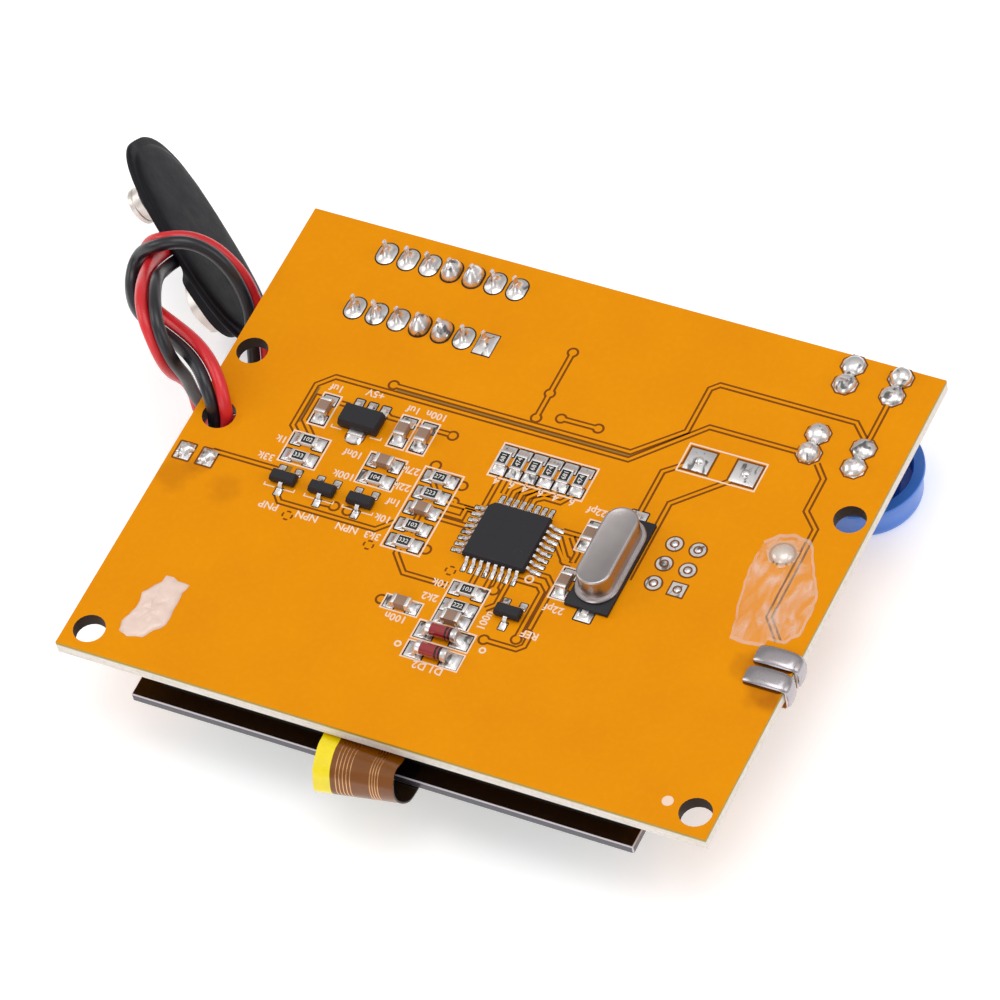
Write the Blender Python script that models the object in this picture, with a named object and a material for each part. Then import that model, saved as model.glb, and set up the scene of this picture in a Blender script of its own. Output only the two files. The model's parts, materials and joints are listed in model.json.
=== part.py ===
"""Handheld component tester: a bare circuit board with a display, a lever socket and a push button.

The board lies parallel to the floor with its soldered side up. Everything is laid out in
millimetres from the centre of that soldered face and placed by the empty board_frame.
"""

import math

import bmesh
import bpy
import numpy as np
from mathutils import Matrix, Vector

MM = 0.001

# Driving dimensions, in millimetres.
BOARD_X = 72.5
BOARD_Y = 60.0
BOARD_T = 1.6
MOUNT_HOLE_D = 3.4
MOUNT_HOLES = ((-34.0, 10.5), (-33.7, -27.3), (34.0, 10.5), (34.0, -27.3))
WIRE_HOLE = (-33.5, 1.75)
WIRE_HOLE_D = 3.6
FRAME_SHIFT = (-0.2, 2.4, 13.0)

PITCH = 2.54
SOCKET_X = (-30.2, -1.8)
SOCKET_Y = (15.95, 29.95)
SOCKET_BASE_Z = (-9.4, -1.9)
SOCKET_COVER_Z = (-13.0, -9.7)
SLOT_X0 = -26.14
SLOT_ROWS = (19.1, 26.75)
SLOT_COUNT = 7
SHAFT = (-5.0, -9.55)
SHAFT_D = 2.6
CAM_D = 3.0
CAM_OFFSET = 0.4525

LCD_X = 28.1
LCD_TOP_Y = 10.0
LCD_REAR_Y = -30.65
LCD_FRONT_Y = -25.2

SWITCH = (29.1, 22.7)
SWITCH_SIZE = 11.3
POST_SIZE = 3.8

SNAP_CENTRE = (-48.8, 24.2, -4.0)
SNAP_ALONG = (0.6909, -0.4198, -0.5886)
SNAP_OUT = (-0.7196, -0.4613, -0.5190)
SNAP_PITCH = 12.7
# Half of the front plate's outline, from the stud end to the socket end: along, half width.
SNAP_PLATE = (
    (-8.5, 0.4), (-8.2, 1.3), (-7.4, 1.9), (-6.3, 2.1), (-3.5, 2.1), (0.5, 2.2), (2.2, 2.6),
    (3.0, 3.7), (4.5, 3.9), (6.5, 3.7), (8.5, 3.3), (9.8, 2.4), (10.5, 1.3), (10.7, 0.4),
)

LEAD_D = 1.4
LEAD_APART = 1.53
LEAD_POINTS = 46
# Centre line of the pair of leads, and the direction from it towards the red one.
LEAD_ROUTE = (
    ((-33.5, -4.6, -3.9), (1.00, 0.00, 0.00)),
    ((-33.5, -2.5, -4.4), (1.00, 0.00, 0.00)),
    ((-33.5, -0.3, -3.7), (1.00, 0.00, 0.00)),
    ((-33.5, 1.1, -2.2), (1.00, 0.00, 0.00)),
    ((-33.5, 1.8, -0.8), (1.00, 0.10, 0.00)),
    ((-33.6, 2.2, 0.8), (1.00, 0.20, 0.10)),
    ((-35.3, 4.2, 2.8), (0.77, 0.63, 0.04)),
    ((-38.8, 6.9, 2.8), (0.56, 0.79, 0.25)),
    ((-42.7, 9.0, 1.9), (0.51, 0.81, 0.29)),
    ((-45.8, 10.4, 1.6), (0.50, 0.90, 0.20)),
    ((-48.2, 12.4, 0.6), (0.80, 0.50, -0.40)),
    ((-49.9, 15.0, 0.5), (0.50, 0.50, -0.80)),
    ((-50.1, 16.9, 1.9), (-0.02, 0.77, -0.64)),
    ((-47.6, 17.3, 4.6), (-0.40, 0.81, -0.43)),
    ((-45.2, 18.2, 4.9), (-0.30, 0.82, -0.48)),
    ((-42.4, 19.0, 3.4), (-0.14, 0.81, -0.57)),
    ((-40.5, 19.0, 1.2), (-0.02, 0.77, -0.64)),
    ((-39.4, 18.9, -1.7), (0.11, 0.72, -0.68)),
    ((-38.4, 18.0, -4.4), (0.37, 0.66, -0.66)),
    ((-36.9, 15.4, -6.9), (0.90, 0.50, -0.10)),
    ((-36.3, 13.2, -9.4), (0.90, 0.30, -0.30)),
    ((-37.0, 11.2, -11.2), (0.80, -0.20, -0.50)),
    ((-38.6, 8.9, -11.2), (0.40, -0.70, -0.60)),
    ((-39.7, 7.8, -9.7), (-0.23, -0.09, -0.97)),
    ((-40.3, 7.3, -6.6), (-0.40, 0.44, -0.80)),
    ((-40.3, 5.9, -1.6), (-0.43, 0.38, -0.82)),
    ((-40.8, 4.7, 3.9), (-0.71, -0.05, -0.70)),
    ((-42.3, 6.1, 6.1), (-0.86, -0.17, -0.49)),
    ((-44.2, 8.9, 6.4), (-0.97, -0.18, -0.18)),
    ((-46.2, 12.8, 4.6), (-0.98, -0.03, -0.21)),
    ((-48.2, 17.7, 0.6), (-0.51, -0.06, 0.86)),
    ((-48.7, 20.2, -1.3), (-0.70, 0.40, 0.60)),
    ((-48.9, 22.6, -3.1), (-0.70, 0.50, 0.60)),
)

RESISTORS_ACROSS = (
    (-22.9, 1.5), (-22.9, -0.65), (-14.1, -0.65), (-7.75, 1.55), (-7.75, -0.6),
    (-7.75, -4.9), (-7.75, -7.0), (1.1, -10.45), (1.1, -12.6),
)
RESISTORS_ALONG = tuple((-2.6 + 1.75 * i, 5.9) for i in range(6))
CAPACITORS_ACROSS = ((-14.1, 1.5), (-7.75, -2.7), (1.1, -14.2), (-4.55, -14.15))
CAPACITORS_ALONG = ((-23.2, 5.85), (-14.1, 5.85), (-11.75, 5.85), (10.05, -0.1), (10.05, -6.35))
TRANSISTORS = ((-23.05, -3.85), (-18.6, -3.85), (-14.2, -3.9), (6.3, -11.7))
DIODES = ((1.15, -16.3), (1.2, -18.8))

COLOURS = {
    "board": ((0.83, 0.35, 0.02), 0.45, 0.0),
    "black_plastic": ((0.03, 0.03, 0.035), 0.5, 0.0),
    "socket_plastic": ((0.03, 0.20, 0.42), 0.45, 0.0),
    "steel": ((0.62, 0.62, 0.63), 0.3, 1.0),
    "ceramic_brown": ((0.45, 0.33, 0.22), 0.5, 0.0),
    "resistor_black": ((0.04, 0.04, 0.045), 0.45, 0.0),
    "diode_glass": ((0.55, 0.09, 0.03), 0.15, 0.0),
    "display_glass": ((0.05, 0.06, 0.06), 0.1, 0.0),
    "backlight": ((0.80, 0.82, 0.78), 0.4, 0.0),
    "flex": ((0.70, 0.33, 0.05), 0.35, 0.0),
    "foam": ((0.05, 0.05, 0.05), 0.9, 0.0),
    "button_blue": ((0.04, 0.13, 0.50), 0.4, 0.0),
    "leatherette": ((0.035, 0.033, 0.037), 0.7, 0.0),
    "nickel": ((0.72, 0.69, 0.66), 0.25, 1.0),
    "red_wire": ((0.60, 0.02, 0.03), 0.45, 0.0),
    "black_wire": ((0.03, 0.03, 0.035), 0.45, 0.0),
}


def clear_scene():
    for old in list(bpy.data.objects):
        bpy.data.objects.remove(old)


def material(slot):
    found = bpy.data.materials.get(slot)
    if found:
        return found
    colour, rough, metal = COLOURS[slot]
    made = bpy.data.materials.new(slot)
    made.use_nodes = True
    shader = made.node_tree.nodes["Principled BSDF"]
    shader.inputs["Base Color"].default_value = (*colour, 1.0)
    shader.inputs["Roughness"].default_value = rough
    shader.inputs["Metallic"].default_value = metal
    made.diffuse_color = (*colour, 1.0)
    return made


def board_frame():
    frame = bpy.data.objects.new("board_frame", None)
    frame.location = [MM * s for s in FRAME_SHIFT]
    frame.empty_display_size = 0.01
    bpy.context.scene.collection.objects.link(frame)
    return frame


def add_object(name, points, faces, slot, origin=(0.0, 0.0, 0.0), axes=None):
    """A mesh object from points in millimetres, measured from origin along axes."""
    mesh = bpy.data.meshes.new(name)
    mesh.from_pydata([[MM * c for c in p] for p in points], [], faces)
    work = bmesh.new()
    work.from_mesh(mesh)
    bmesh.ops.recalc_face_normals(work, faces=work.faces)
    work.to_mesh(mesh)
    work.free()
    made = bpy.data.objects.new(name, mesh)
    bpy.context.scene.collection.objects.link(made)
    made.parent = bpy.data.objects["board_frame"]
    turn = Matrix.Identity(4) if axes is None else axes.to_4x4()
    made.matrix_local = Matrix.Translation([MM * c for c in origin]) @ turn
    if slot:
        made.data.materials.append(material(slot))
    return made


def loft(name, rings, slot, origin=(0.0, 0.0, 0.0), axes=None):
    """A closed body through rings of equally many points, with flat ends."""
    count = len(rings[0])
    points = [tuple(p) for ring in rings for p in ring]
    faces = [tuple(range(count)), tuple(range(len(points) - count, len(points)))]
    for row in range(len(rings) - 1):
        low = row * count
        high = low + count
        for i in range(count):
            j = (i + 1) % count
            faces.append((low + i, low + j, high + j, high + i))
    return add_object(name, points, faces, slot, origin, axes)


def rectangle(x0, x1, y0, y1, corner=0.0):
    if corner <= 0:
        return [(x0, y0), (x1, y0), (x1, y1), (x0, y1)]
    c = corner
    return [
        (x0 + c, y0), (x1 - c, y0), (x1, y0 + c), (x1, y1 - c),
        (x1 - c, y1), (x0 + c, y1), (x0, y1 - c), (x0, y0 + c),
    ]


def circle(x, y, radius, steps=24):
    turns = [math.tau * i / steps for i in range(steps)]
    return [(x + radius * math.cos(a), y + radius * math.sin(a)) for a in turns]


def stadium(x, y, width, height, steps=8):
    """An upright slot outline: straight sides with round ends."""
    radius = width / 2
    reach = height / 2 - radius
    ring = []
    for i in range(steps + 1):
        a = math.pi * i / steps
        ring.append((x + radius * math.cos(a), y + reach + radius * math.sin(a)))
    for i in range(steps + 1):
        a = math.pi + math.pi * i / steps
        ring.append((x + radius * math.cos(a), y - reach + radius * math.sin(a)))
    return ring


def superellipse(half_x, half_y, power, steps=40):
    ring = []
    for i in range(steps):
        a = math.tau * i / steps
        c = math.cos(a)
        s = math.sin(a)
        ring.append((
            math.copysign(half_x * abs(c) ** (2 / power), c),
            math.copysign(half_y * abs(s) ** (2 / power), s),
        ))
    return ring


def at_height(outline, z):
    return [(x, y, z) for x, y in outline]


def box(name, x, y, z, slot, corner=0.0):
    outline = rectangle(x[0], x[1], y[0], y[1], corner)
    return loft(name, [at_height(outline, z[0]), at_height(outline, z[1])], slot)


def plate(name, outline, holes, z, slot):
    """A flat plate with holes through it."""
    work = bmesh.new()
    edges = []
    for ring in [outline, *holes]:
        points = [work.verts.new((MM * x, MM * y, MM * z[0])) for x, y in ring]
        for i, point in enumerate(points):
            edges.append(work.edges.new((point, points[(i + 1) % len(points)])))
    filled = bmesh.ops.triangle_fill(work, edges=edges, use_beauty=True, normal=(0, 0, 1))
    faces = [f for f in filled["geom"] if isinstance(f, bmesh.types.BMFace)]
    raised = bmesh.ops.extrude_face_region(work, geom=faces)
    moved = [v for v in raised["geom"] if isinstance(v, bmesh.types.BMVert)]
    bmesh.ops.translate(work, verts=moved, vec=(0, 0, MM * (z[1] - z[0])))
    bmesh.ops.recalc_face_normals(work, faces=work.faces)
    mesh = bpy.data.meshes.new(name)
    work.to_mesh(mesh)
    work.free()
    made = bpy.data.objects.new(name, mesh)
    bpy.context.scene.collection.objects.link(made)
    made.parent = bpy.data.objects["board_frame"]
    made.data.materials.append(material(slot))
    return made


def spun(name, profile, slot, origin, axes=None, steps=24):
    """A solid of revolution about its own Z from (radius, z) pairs that start and end on the axis."""
    turns = [math.tau * i / steps for i in range(steps)]
    inner = profile[1:-1]
    points = [(0.0, 0.0, profile[0][1])]
    for radius, z in inner:
        points += [(radius * math.cos(a), radius * math.sin(a), z) for a in turns]
    points.append((0.0, 0.0, profile[-1][1]))
    faces = []
    for i in range(steps):
        j = (i + 1) % steps
        faces.append((0, 1 + i, 1 + j))
        last = len(points) - 1
        faces.append((last, last - steps + j, last - steps + i))
        for row in range(len(inner) - 1):
            a = 1 + row * steps
            b = a + steps
            faces.append((a + i, b + i, b + j, a + j))
    return add_object(name, points, faces, slot, origin, axes)


def carve(target, cutter, operation="DIFFERENCE"):
    cutter.hide_render = True
    cutter.display_type = "WIRE"
    step = target.modifiers.new(cutter.name, "BOOLEAN")
    step.operation = operation
    step.solver = "EXACT"
    step.object = cutter


def cutter_boxes(name, boxes):
    """One hidden mesh made of separate blocks, each given as (x, y, z) ranges."""
    points = []
    faces = []
    for x, y, z in boxes:
        k = len(points)
        for level in z:
            points += at_height(rectangle(x[0], x[1], y[0], y[1]), level)
        faces += [(k, k + 3, k + 2, k + 1), (k + 4, k + 5, k + 6, k + 7)]
        for i in range(4):
            j = (i + 1) % 4
            faces.append((k + i, k + j, k + 4 + j, k + 4 + i))
    return add_object(name, points, faces, None)


# Circuit board and what is soldered to its upper side.


def circuit_board():
    outline = rectangle(-BOARD_X / 2, BOARD_X / 2, -BOARD_Y / 2, BOARD_Y / 2)
    holes = [circle(x, y, MOUNT_HOLE_D / 2) for x, y in MOUNT_HOLES]
    holes.append(circle(*WIRE_HOLE, WIRE_HOLE_D / 2))
    plate("circuit_board", outline, holes, (-BOARD_T, 0.0), "board")


def moulded(name, x, y, size_x, size_y, bottom, top, slot="black_plastic", draft=0.12):
    """A moulded chip body: widest half way up, with sloping sides."""
    middle = (bottom + top) / 2
    half_x = size_x / 2
    half_y = size_y / 2
    rings = []
    for z, inset in ((bottom, draft), (middle, 0.0), (top, draft)):
        ring = rectangle(
            x - half_x + inset, x + half_x - inset, y - half_y + inset, y + half_y - inset
        )
        rings.append(at_height(ring, z))
    loft(name, rings, slot)


def microcontroller():
    moulded("microcontroller", 2.2, -3.25, 7.0, 7.0, 0.1, 1.1)


def crystal():
    box("crystal_base", (11.1, 15.9), (-8.75, 3.25), (0.05, 0.5), "black_plastic", 0.5)
    levels = (
        (4.65, 11.05, 0.55), (4.65, 11.05, 0.85), (3.7, 10.2, 0.95),
        (3.7, 10.2, 2.95), (3.46, 9.96, 3.22), (2.95, 9.45, 3.3),
    )
    rings = [at_height(stadium(13.5, -2.6, w, h), z) for w, h, z in levels]
    loft("crystal_can", rings, "steel")


def regulator_and_transistors():
    moulded("voltage_regulator", -18.6, 5.45, 4.5, 2.5, 0.08, 1.5)
    for i, (x, y) in enumerate(TRANSISTORS):
        moulded(f"transistor_{i + 1}", x, y, 2.9, 1.3, 0.1, 1.1, draft=0.08)


def diodes():
    across = Matrix(((0, 0, 1), (0, 1, 0), (-1, 0, 0)))
    profile = (
        (0, -1.75), (0.66, -1.75), (0.725, -1.68), (0.725, -1.3), (0.7, -1.26),
        (0.7, 1.26), (0.725, 1.3), (0.725, 1.68), (0.66, 1.75), (0, 1.75),
    )
    for i, (x, y) in enumerate(DIODES):
        spun(f"diode_{i + 1}", profile, "diode_glass", (x, y, 0.78), across, 14)


def chip(name, x, y, along, height, slot):
    half_x = 0.625 if along else 1.0
    half_y = 1.0 if along else 0.625
    outline = rectangle(x - half_x, x + half_x, y - half_y, y + half_y)
    loft(name, [at_height(outline, 0.04), at_height(outline, 0.04 + height)], slot)


def resistors_and_capacitors():
    places = [(x, y, False) for x, y in RESISTORS_ACROSS]
    places += [(x, y, True) for x, y in RESISTORS_ALONG]
    for i, (x, y, along) in enumerate(places):
        chip(f"resistor_{i + 1}", x, y, along, 0.5, "resistor_black")
    places = [(x, y, False) for x, y in CAPACITORS_ACROSS]
    places += [(x, y, True) for x, y in CAPACITORS_ALONG]
    for i, (x, y, along) in enumerate(places):
        chip(f"capacitor_{i + 1}", x, y, along, 0.95, "ceramic_brown")


# Display under the board.


def display():
    glass = "display_glass"
    rear = ((-LCD_X, LCD_X), (LCD_REAR_Y, LCD_TOP_Y), (-5.5, -4.4))
    front = ((-LCD_X, LCD_X), (LCD_FRONT_Y, LCD_TOP_Y), (-6.65, -5.55))
    box("display_rear_glass", *rear, glass)
    box("display_front_glass", *front, glass)
    box("display_polarizer", (-27.2, 27.2), (-24.3, 9.1), (-6.95, -6.7), glass)
    box("display_driver_chip", (-5.0, 5.0), (-27.9, -26.7), (-5.95, -5.55), "black_plastic")
    box("display_backlight", (-27.0, 27.0), (-27.6, 9.4), (-4.3, -2.4), "backlight", 0.6)
    box("foam_pad_left", (-26.0, -22.0), (-22.0, 4.0), (-2.3, -1.7), "foam")
    box("foam_pad_right", (22.0, 26.0), (-22.0, 4.0), (-2.3, -1.7), "foam")


def thickened(path, half):
    """The two sides of a flat strip whose middle line runs through (u, v) points."""
    path = np.array(path, float)
    along = np.gradient(path, axis=0)
    along /= np.linalg.norm(along, axis=1)[:, None]
    across = np.stack([-along[:, 1], along[:, 0]], axis=1)
    return path + half * across, path - half * across


def flex_cable():
    """A thin cable that leaves the board, loops round its edge and ends on the rear glass."""
    near = (
        (-25.0, -1.85), (-28.0, -1.95), (-29.9, -2.2), (-31.4, -1.35), (-32.6, -0.95),
        (-33.4, -1.5), (-33.95, -2.5), (-33.9, -3.5), (-33.4, -4.5), (-32.4, -5.4),
        (-31.2, -5.7), (-29.0, -5.7),
    )
    far = (
        (-25.0, -1.85), (-28.0, -1.9), (-30.05, -2.05), (-31.4, -1.75), (-32.7, -2.1),
        (-33.8, -2.7), (-34.35, -3.6), (-34.75, -4.4), (-34.65, -5.1), (-33.6, -5.72),
        (-31.8, -5.74), (-29.0, -5.7),
    )
    columns = 5
    rings = []
    for c in range(columns):
        share = c / (columns - 1)
        middle = (1 - share) * np.array(far) + share * np.array(near)
        fine = resampled(middle, 26)
        one, other = thickened(fine, 0.09)
        drift = np.clip((np.arange(len(fine)) / (len(fine) - 1) - 0.25) / 0.55, 0.0, 1.0)
        x = -6.1 + 9.0 * share + 1.35 * drift
        ring = [(x[i], *one[i]) for i in range(len(fine))]
        ring += [(x[i], *other[i]) for i in reversed(range(len(fine)))]
        rings.append(ring)
    loft("flex_cable", rings, "flex")


def backlight_tabs():
    path = (
        (27.35, -2.8), (30.0, -2.8), (34.0, -2.8), (36.2, -2.8), (36.46, -2.5),
        (36.5, -1.9), (36.5, -0.2), (36.42, 0.13), (36.15, 0.24), (34.0, 0.24), (32.4, 0.24),
    )
    one, other = thickened(path, 0.1)
    for i, y in enumerate((-7.9, -10.45)):
        outline = [tuple(p) for p in one] + [tuple(p) for p in reversed(other)]
        rings = [[(x, y + s, z) for x, z in outline] for s in (-0.9, 0.9)]
        loft(f"backlight_tab_{i + 1}", rings, "steel")


# Lever socket.


def slot_centres():
    return [(SLOT_X0 + PITCH * i, y) for y in SLOT_ROWS for i in range(SLOT_COUNT)]


def socket_base():
    z0, z1 = SOCKET_BASE_Z
    base = box("socket_base", SOCKET_X, SOCKET_Y, (z0, z1), "socket_plastic")
    wells = [
        ((x - 0.6, x + 0.6), (y - 1.6, y + 1.6), (z0 - 1.0, z0 + 5.5))
        for x, y in slot_centres()
    ]
    x = SHAFT[0]
    wells.append(((x - 2.4, x + 2.4), (SOCKET_Y[0] - 1.0, 29.2), (z0 - 1.0, z0 + 1.6)))
    carve(base, cutter_boxes("socket_base_wells", wells))


def socket_cover():
    z0, z1 = SOCKET_COVER_Z
    slots = [rectangle(x - 0.65, x + 0.65, y - 1.9, y + 1.9) for x, y in slot_centres()]
    outline = rectangle(*SOCKET_X, *SOCKET_Y, 0.4)
    cover = plate("socket_cover", outline, slots, (z0, z1), "socket_plastic")
    x = SHAFT[0]
    groove = ((x - 1.55, x + 2.45), (SOCKET_Y[0] - 1.0, 29.2), (z1 - 1.4, z1 + 1.0))
    notch = ((x - 1.4, x + 2.3), (20.6, 25.3), (z1 - 2.2, z1 + 1.0))
    carve(cover, cutter_boxes("socket_cover_groove", [groove]))
    carve(cover, cutter_boxes("socket_cover_notch", [notch]))


def socket_lever():
    """The shaft runs along Y through its own origin, and the arm lies along +X."""
    steps = 16
    origin = (SHAFT[0], SOCKET_Y[0], SHAFT[1])

    def rod(y0, y1, radius, dx=0.0, dz=0.0):
        rings = []
        for y in (y0, y1):
            rings.append([(dx + a, y, dz + b) for a, b in circle(0, 0, radius, steps)])
        return rings

    lever = loft("socket_lever", rod(-1.2, 13.0, SHAFT_D / 2), "steel", origin)
    cam = loft("socket_lever_cam", rod(5.0, 9.0, CAM_D / 2, CAM_OFFSET, -CAM_OFFSET), None, origin)
    sides = ((-1.3, 1.15), (1.3, 1.15), (12.0, 0.9), (15.6, 1.3), (16.2, 0.7))
    outline = [(x, z) for x, z in sides] + [(x, -z) for x, z in reversed(sides)]
    rings = [[(x, y, z) for x, z in outline] for y in (-2.0, -0.8)]
    arm = loft("socket_lever_arm", rings, None, origin)
    carve(lever, cam, "UNION")
    carve(lever, arm, "UNION")


# Push button.


def push_button():
    x, y = SWITCH
    half = SWITCH_SIZE / 2
    square = rectangle(x - half, x + half, y - half, y + half, 0.6)
    base = loft("switch_base", [at_height(square, -4.9), at_height(square, -1.9)], "black_plastic")
    rings = [at_height(circle(x, y, 3.7), z) for z in (-6.0, -2.7)]
    carve(base, loft("switch_base_well", rings, None))
    plate("switch_cover", square, [circle(x, y, 2.9)], (-5.4, -5.0), "steel")
    switch_dome(x, y)
    lower = [at_height(circle(0, 0, 3.3, 24), z) for z in (-4.75, -3.95)]
    post = loft("switch_plunger", lower, "black_plastic", (x, y, 0.0))
    side = POST_SIZE / 2
    shaft = rectangle(-side, side, -side, side)
    rings = [at_height(shaft, z) for z in (-11.0, -4.3)]
    carve(post, loft("switch_plunger_post", rings, None, (x, y, 0.0)), "UNION")
    cap_profile = (
        (0, -12.7), (5.55, -12.7), (5.85, -12.55), (6.0, -12.2), (6.0, -9.0), (6.45, -9.0),
        (6.45, -8.5), (5.2, -8.5), (5.2, -11.7), (3.5, -11.7), (3.5, -7.2), (0, -7.2),
    )
    cap = spun("button_cap", cap_profile, "button_blue", (x, y, 0.0), steps=32)
    side = POST_SIZE / 2 + 0.1
    hole = rectangle(-side, side, -side, side)
    rings = [at_height(hole, z) for z in (-11.3, -6.0)]
    carve(cap, loft("button_cap_hole", rings, None, (x, y, 0.0)))


def switch_dome(x, y):
    """The thin snap dome over the plunger, with its rim up against the switch base."""
    top = -2.72
    shell = [(0, top - 1.12), (1.5, top - 1.0), (2.6, top - 0.62), (3.4, top - 0.14), (3.4, top)]
    shell += [(3.1, top), (2.5, top - 0.5), (1.45, top - 0.86), (0, top - 0.98)]
    spun("switch_dome", shell, "steel", (x, y, 0.0), steps=20)


# Battery snap and its leads.


def snap_axes():
    along = Vector(SNAP_ALONG).normalized()
    out = Vector(SNAP_OUT)
    out = (out - along * out.dot(along)).normalized()
    side = out.cross(along)
    return Matrix((along, side, out)).transposed()


def battery_snap():
    axes = snap_axes()
    at = SNAP_CENTRE
    whole = superellipse(12.6, 6.4, 2.7)
    rings = [
        at_height([(0.93 * x, 0.87 * y) for x, y in whole], -1.5),
        at_height([(0.985 * x, 0.97 * y) for x, y in whole], -1.25),
        at_height(whole, -0.9),
        at_height(whole, -0.5),
    ]
    loft("snap_back_cover", rings, "leatherette", at, axes)
    front = [(x, y) for x, y in SNAP_PLATE] + [(x, -y) for x, y in reversed(SNAP_PLATE)]
    loft("snap_front_plate", [at_height(front, z) for z in (1.1, 1.6)], "black_plastic", at, axes)
    reach = SNAP_PITCH / 2
    stud_at = Vector(at) + axes @ Vector((-reach, 0, 0))
    socket_at = Vector(at) + axes @ Vector((reach, 0, 0))
    stud = (
        (0, 1.65), (2.0, 1.65), (2.0, 2.5), (2.1, 2.6),
        (2.1, 3.05), (1.95, 3.2), (0, 3.2),
    )
    spun("snap_stud", stud, "nickel", stud_at, axes)
    hexagon = hexagon_outline(3.3)
    rings = [at_height(hexagon, 1.65), at_height(hexagon, 2.9)]
    bore = [(0.72 * x, 0.72 * y) for x, y in hexagon]
    rings += [at_height(bore, 2.9), at_height(bore, 2.0)]
    loft("snap_socket", rings, "nickel", socket_at, axes)


def hexagon_outline(radius, steps=24):
    ring = []
    for i in range(steps):
        a = math.tau * i / steps
        lobe = 1.0 / math.cos((a + math.pi / 6) % (math.pi / 3) - math.pi / 6)
        reach = radius * (0.5 * 0.87 * lobe + 0.5 * 0.93)
        ring.append((reach * math.cos(a), reach * math.sin(a)))
    return ring


def resampled(points, count, fine=24):
    """Evenly spaced points on a smooth curve through the given ones."""
    curve = spline_through(points, fine)
    steps = np.linalg.norm(np.diff(curve, axis=0), axis=1)
    run = np.concatenate([[0.0], np.cumsum(steps)])
    wanted = np.linspace(0.0, run[-1], count)
    return np.stack([np.interp(wanted, run, curve[:, k]) for k in range(curve.shape[1])], axis=1)


def spline_through(points, fine):
    """A natural cubic spline through the points, spaced by chord length."""
    knots = np.array(points, float)
    gap = np.linalg.norm(np.diff(knots[:, :3], axis=0), axis=1)
    count = len(knots)
    system = np.zeros((count, count))
    right = np.zeros_like(knots)
    system[0, 0] = 1.0
    system[-1, -1] = 1.0
    for i in range(1, count - 1):
        system[i, i - 1] = gap[i - 1]
        system[i, i] = 2 * (gap[i - 1] + gap[i])
        system[i, i + 1] = gap[i]
        slope = (knots[i + 1] - knots[i]) / gap[i] - (knots[i] - knots[i - 1]) / gap[i - 1]
        right[i] = 6 * slope
    bend = np.linalg.solve(system, right)
    rows = []
    for i in range(count - 1):
        share = np.linspace(0.0, 1.0, fine, endpoint=i == count - 2)[:, None]
        back = 1 - share
        rows.append(
            back * knots[i] + share * knots[i + 1]
            + gap[i] ** 2 / 6 * ((back**3 - back) * bend[i] + (share**3 - share) * bend[i + 1])
        )
    return np.concatenate(rows)


def leads():
    both = [(*point, *side) for point, side in LEAD_ROUTE]
    table = resampled(both, LEAD_POINTS)
    middle = table[:, :3]
    along = np.gradient(middle, axis=0)
    along /= np.linalg.norm(along, axis=1)[:, None]
    side = table[:, 3:]
    side = side - (side * along).sum(axis=1)[:, None] * along
    side /= np.linalg.norm(side, axis=1)[:, None]
    for name, sign, slot in (("red_lead", 1, "red_wire"), ("black_lead", -1, "black_wire")):
        lead(name, middle + sign * LEAD_APART / 2 * side, slot)


def lead(name, points, slot):
    curve = bpy.data.curves.new(name, "CURVE")
    curve.dimensions = "3D"
    curve.bevel_depth = MM * LEAD_D / 2
    curve.bevel_resolution = 2
    curve.use_fill_caps = True
    line = curve.splines.new("POLY")
    line.points.add(len(points) - 1)
    for point, place in zip(line.points, points):
        point.co = (*(MM * c for c in place), 1.0)
    made = bpy.data.objects.new(name, curve)
    bpy.context.scene.collection.objects.link(made)
    made.parent = bpy.data.objects["board_frame"]
    curve.materials.append(material(slot))


clear_scene()
board_frame()
circuit_board()
microcontroller()
crystal()
regulator_and_transistors()
diodes()
resistors_and_capacitors()
display()
flex_cable()
backlight_tabs()
socket_base()
socket_cover()
socket_lever()
push_button()
battery_snap()
leads()
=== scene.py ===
"""Looks of the component tester: the soldered side of its board, what hangs under it, and its battery snap.

Every place is in millimetres from the middle of the board's soldered face, with +X along the
board, +Y across it and +Z out of the soldered side. That point comes from the frame.
"""

import json  # noqa: E402
import math  # noqa: E402

import bmesh  # noqa: E402
import bpy  # noqa: E402
import numpy as np  # noqa: E402
from mathutils import Matrix, Vector, noise  # noqa: E402

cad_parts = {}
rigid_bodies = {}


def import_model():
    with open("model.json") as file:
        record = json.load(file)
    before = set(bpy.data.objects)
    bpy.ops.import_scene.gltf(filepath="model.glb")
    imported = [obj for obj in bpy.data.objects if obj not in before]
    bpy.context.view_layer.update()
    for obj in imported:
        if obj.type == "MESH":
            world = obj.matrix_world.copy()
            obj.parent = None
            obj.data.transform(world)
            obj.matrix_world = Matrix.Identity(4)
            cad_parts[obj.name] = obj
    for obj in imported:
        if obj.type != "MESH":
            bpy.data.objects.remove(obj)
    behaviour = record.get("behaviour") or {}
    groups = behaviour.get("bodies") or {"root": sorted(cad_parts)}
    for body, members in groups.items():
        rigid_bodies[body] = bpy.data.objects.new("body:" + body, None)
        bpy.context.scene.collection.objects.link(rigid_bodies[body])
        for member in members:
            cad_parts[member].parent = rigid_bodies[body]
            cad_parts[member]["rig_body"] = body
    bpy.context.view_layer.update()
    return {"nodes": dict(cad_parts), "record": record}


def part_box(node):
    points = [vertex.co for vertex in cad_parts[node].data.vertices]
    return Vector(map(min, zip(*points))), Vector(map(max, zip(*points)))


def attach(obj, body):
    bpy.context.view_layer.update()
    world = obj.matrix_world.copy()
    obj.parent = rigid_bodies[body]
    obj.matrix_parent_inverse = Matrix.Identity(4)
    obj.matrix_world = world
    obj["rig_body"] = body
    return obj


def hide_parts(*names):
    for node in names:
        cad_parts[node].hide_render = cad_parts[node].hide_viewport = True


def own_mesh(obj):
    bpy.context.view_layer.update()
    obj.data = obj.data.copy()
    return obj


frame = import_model()

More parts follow.
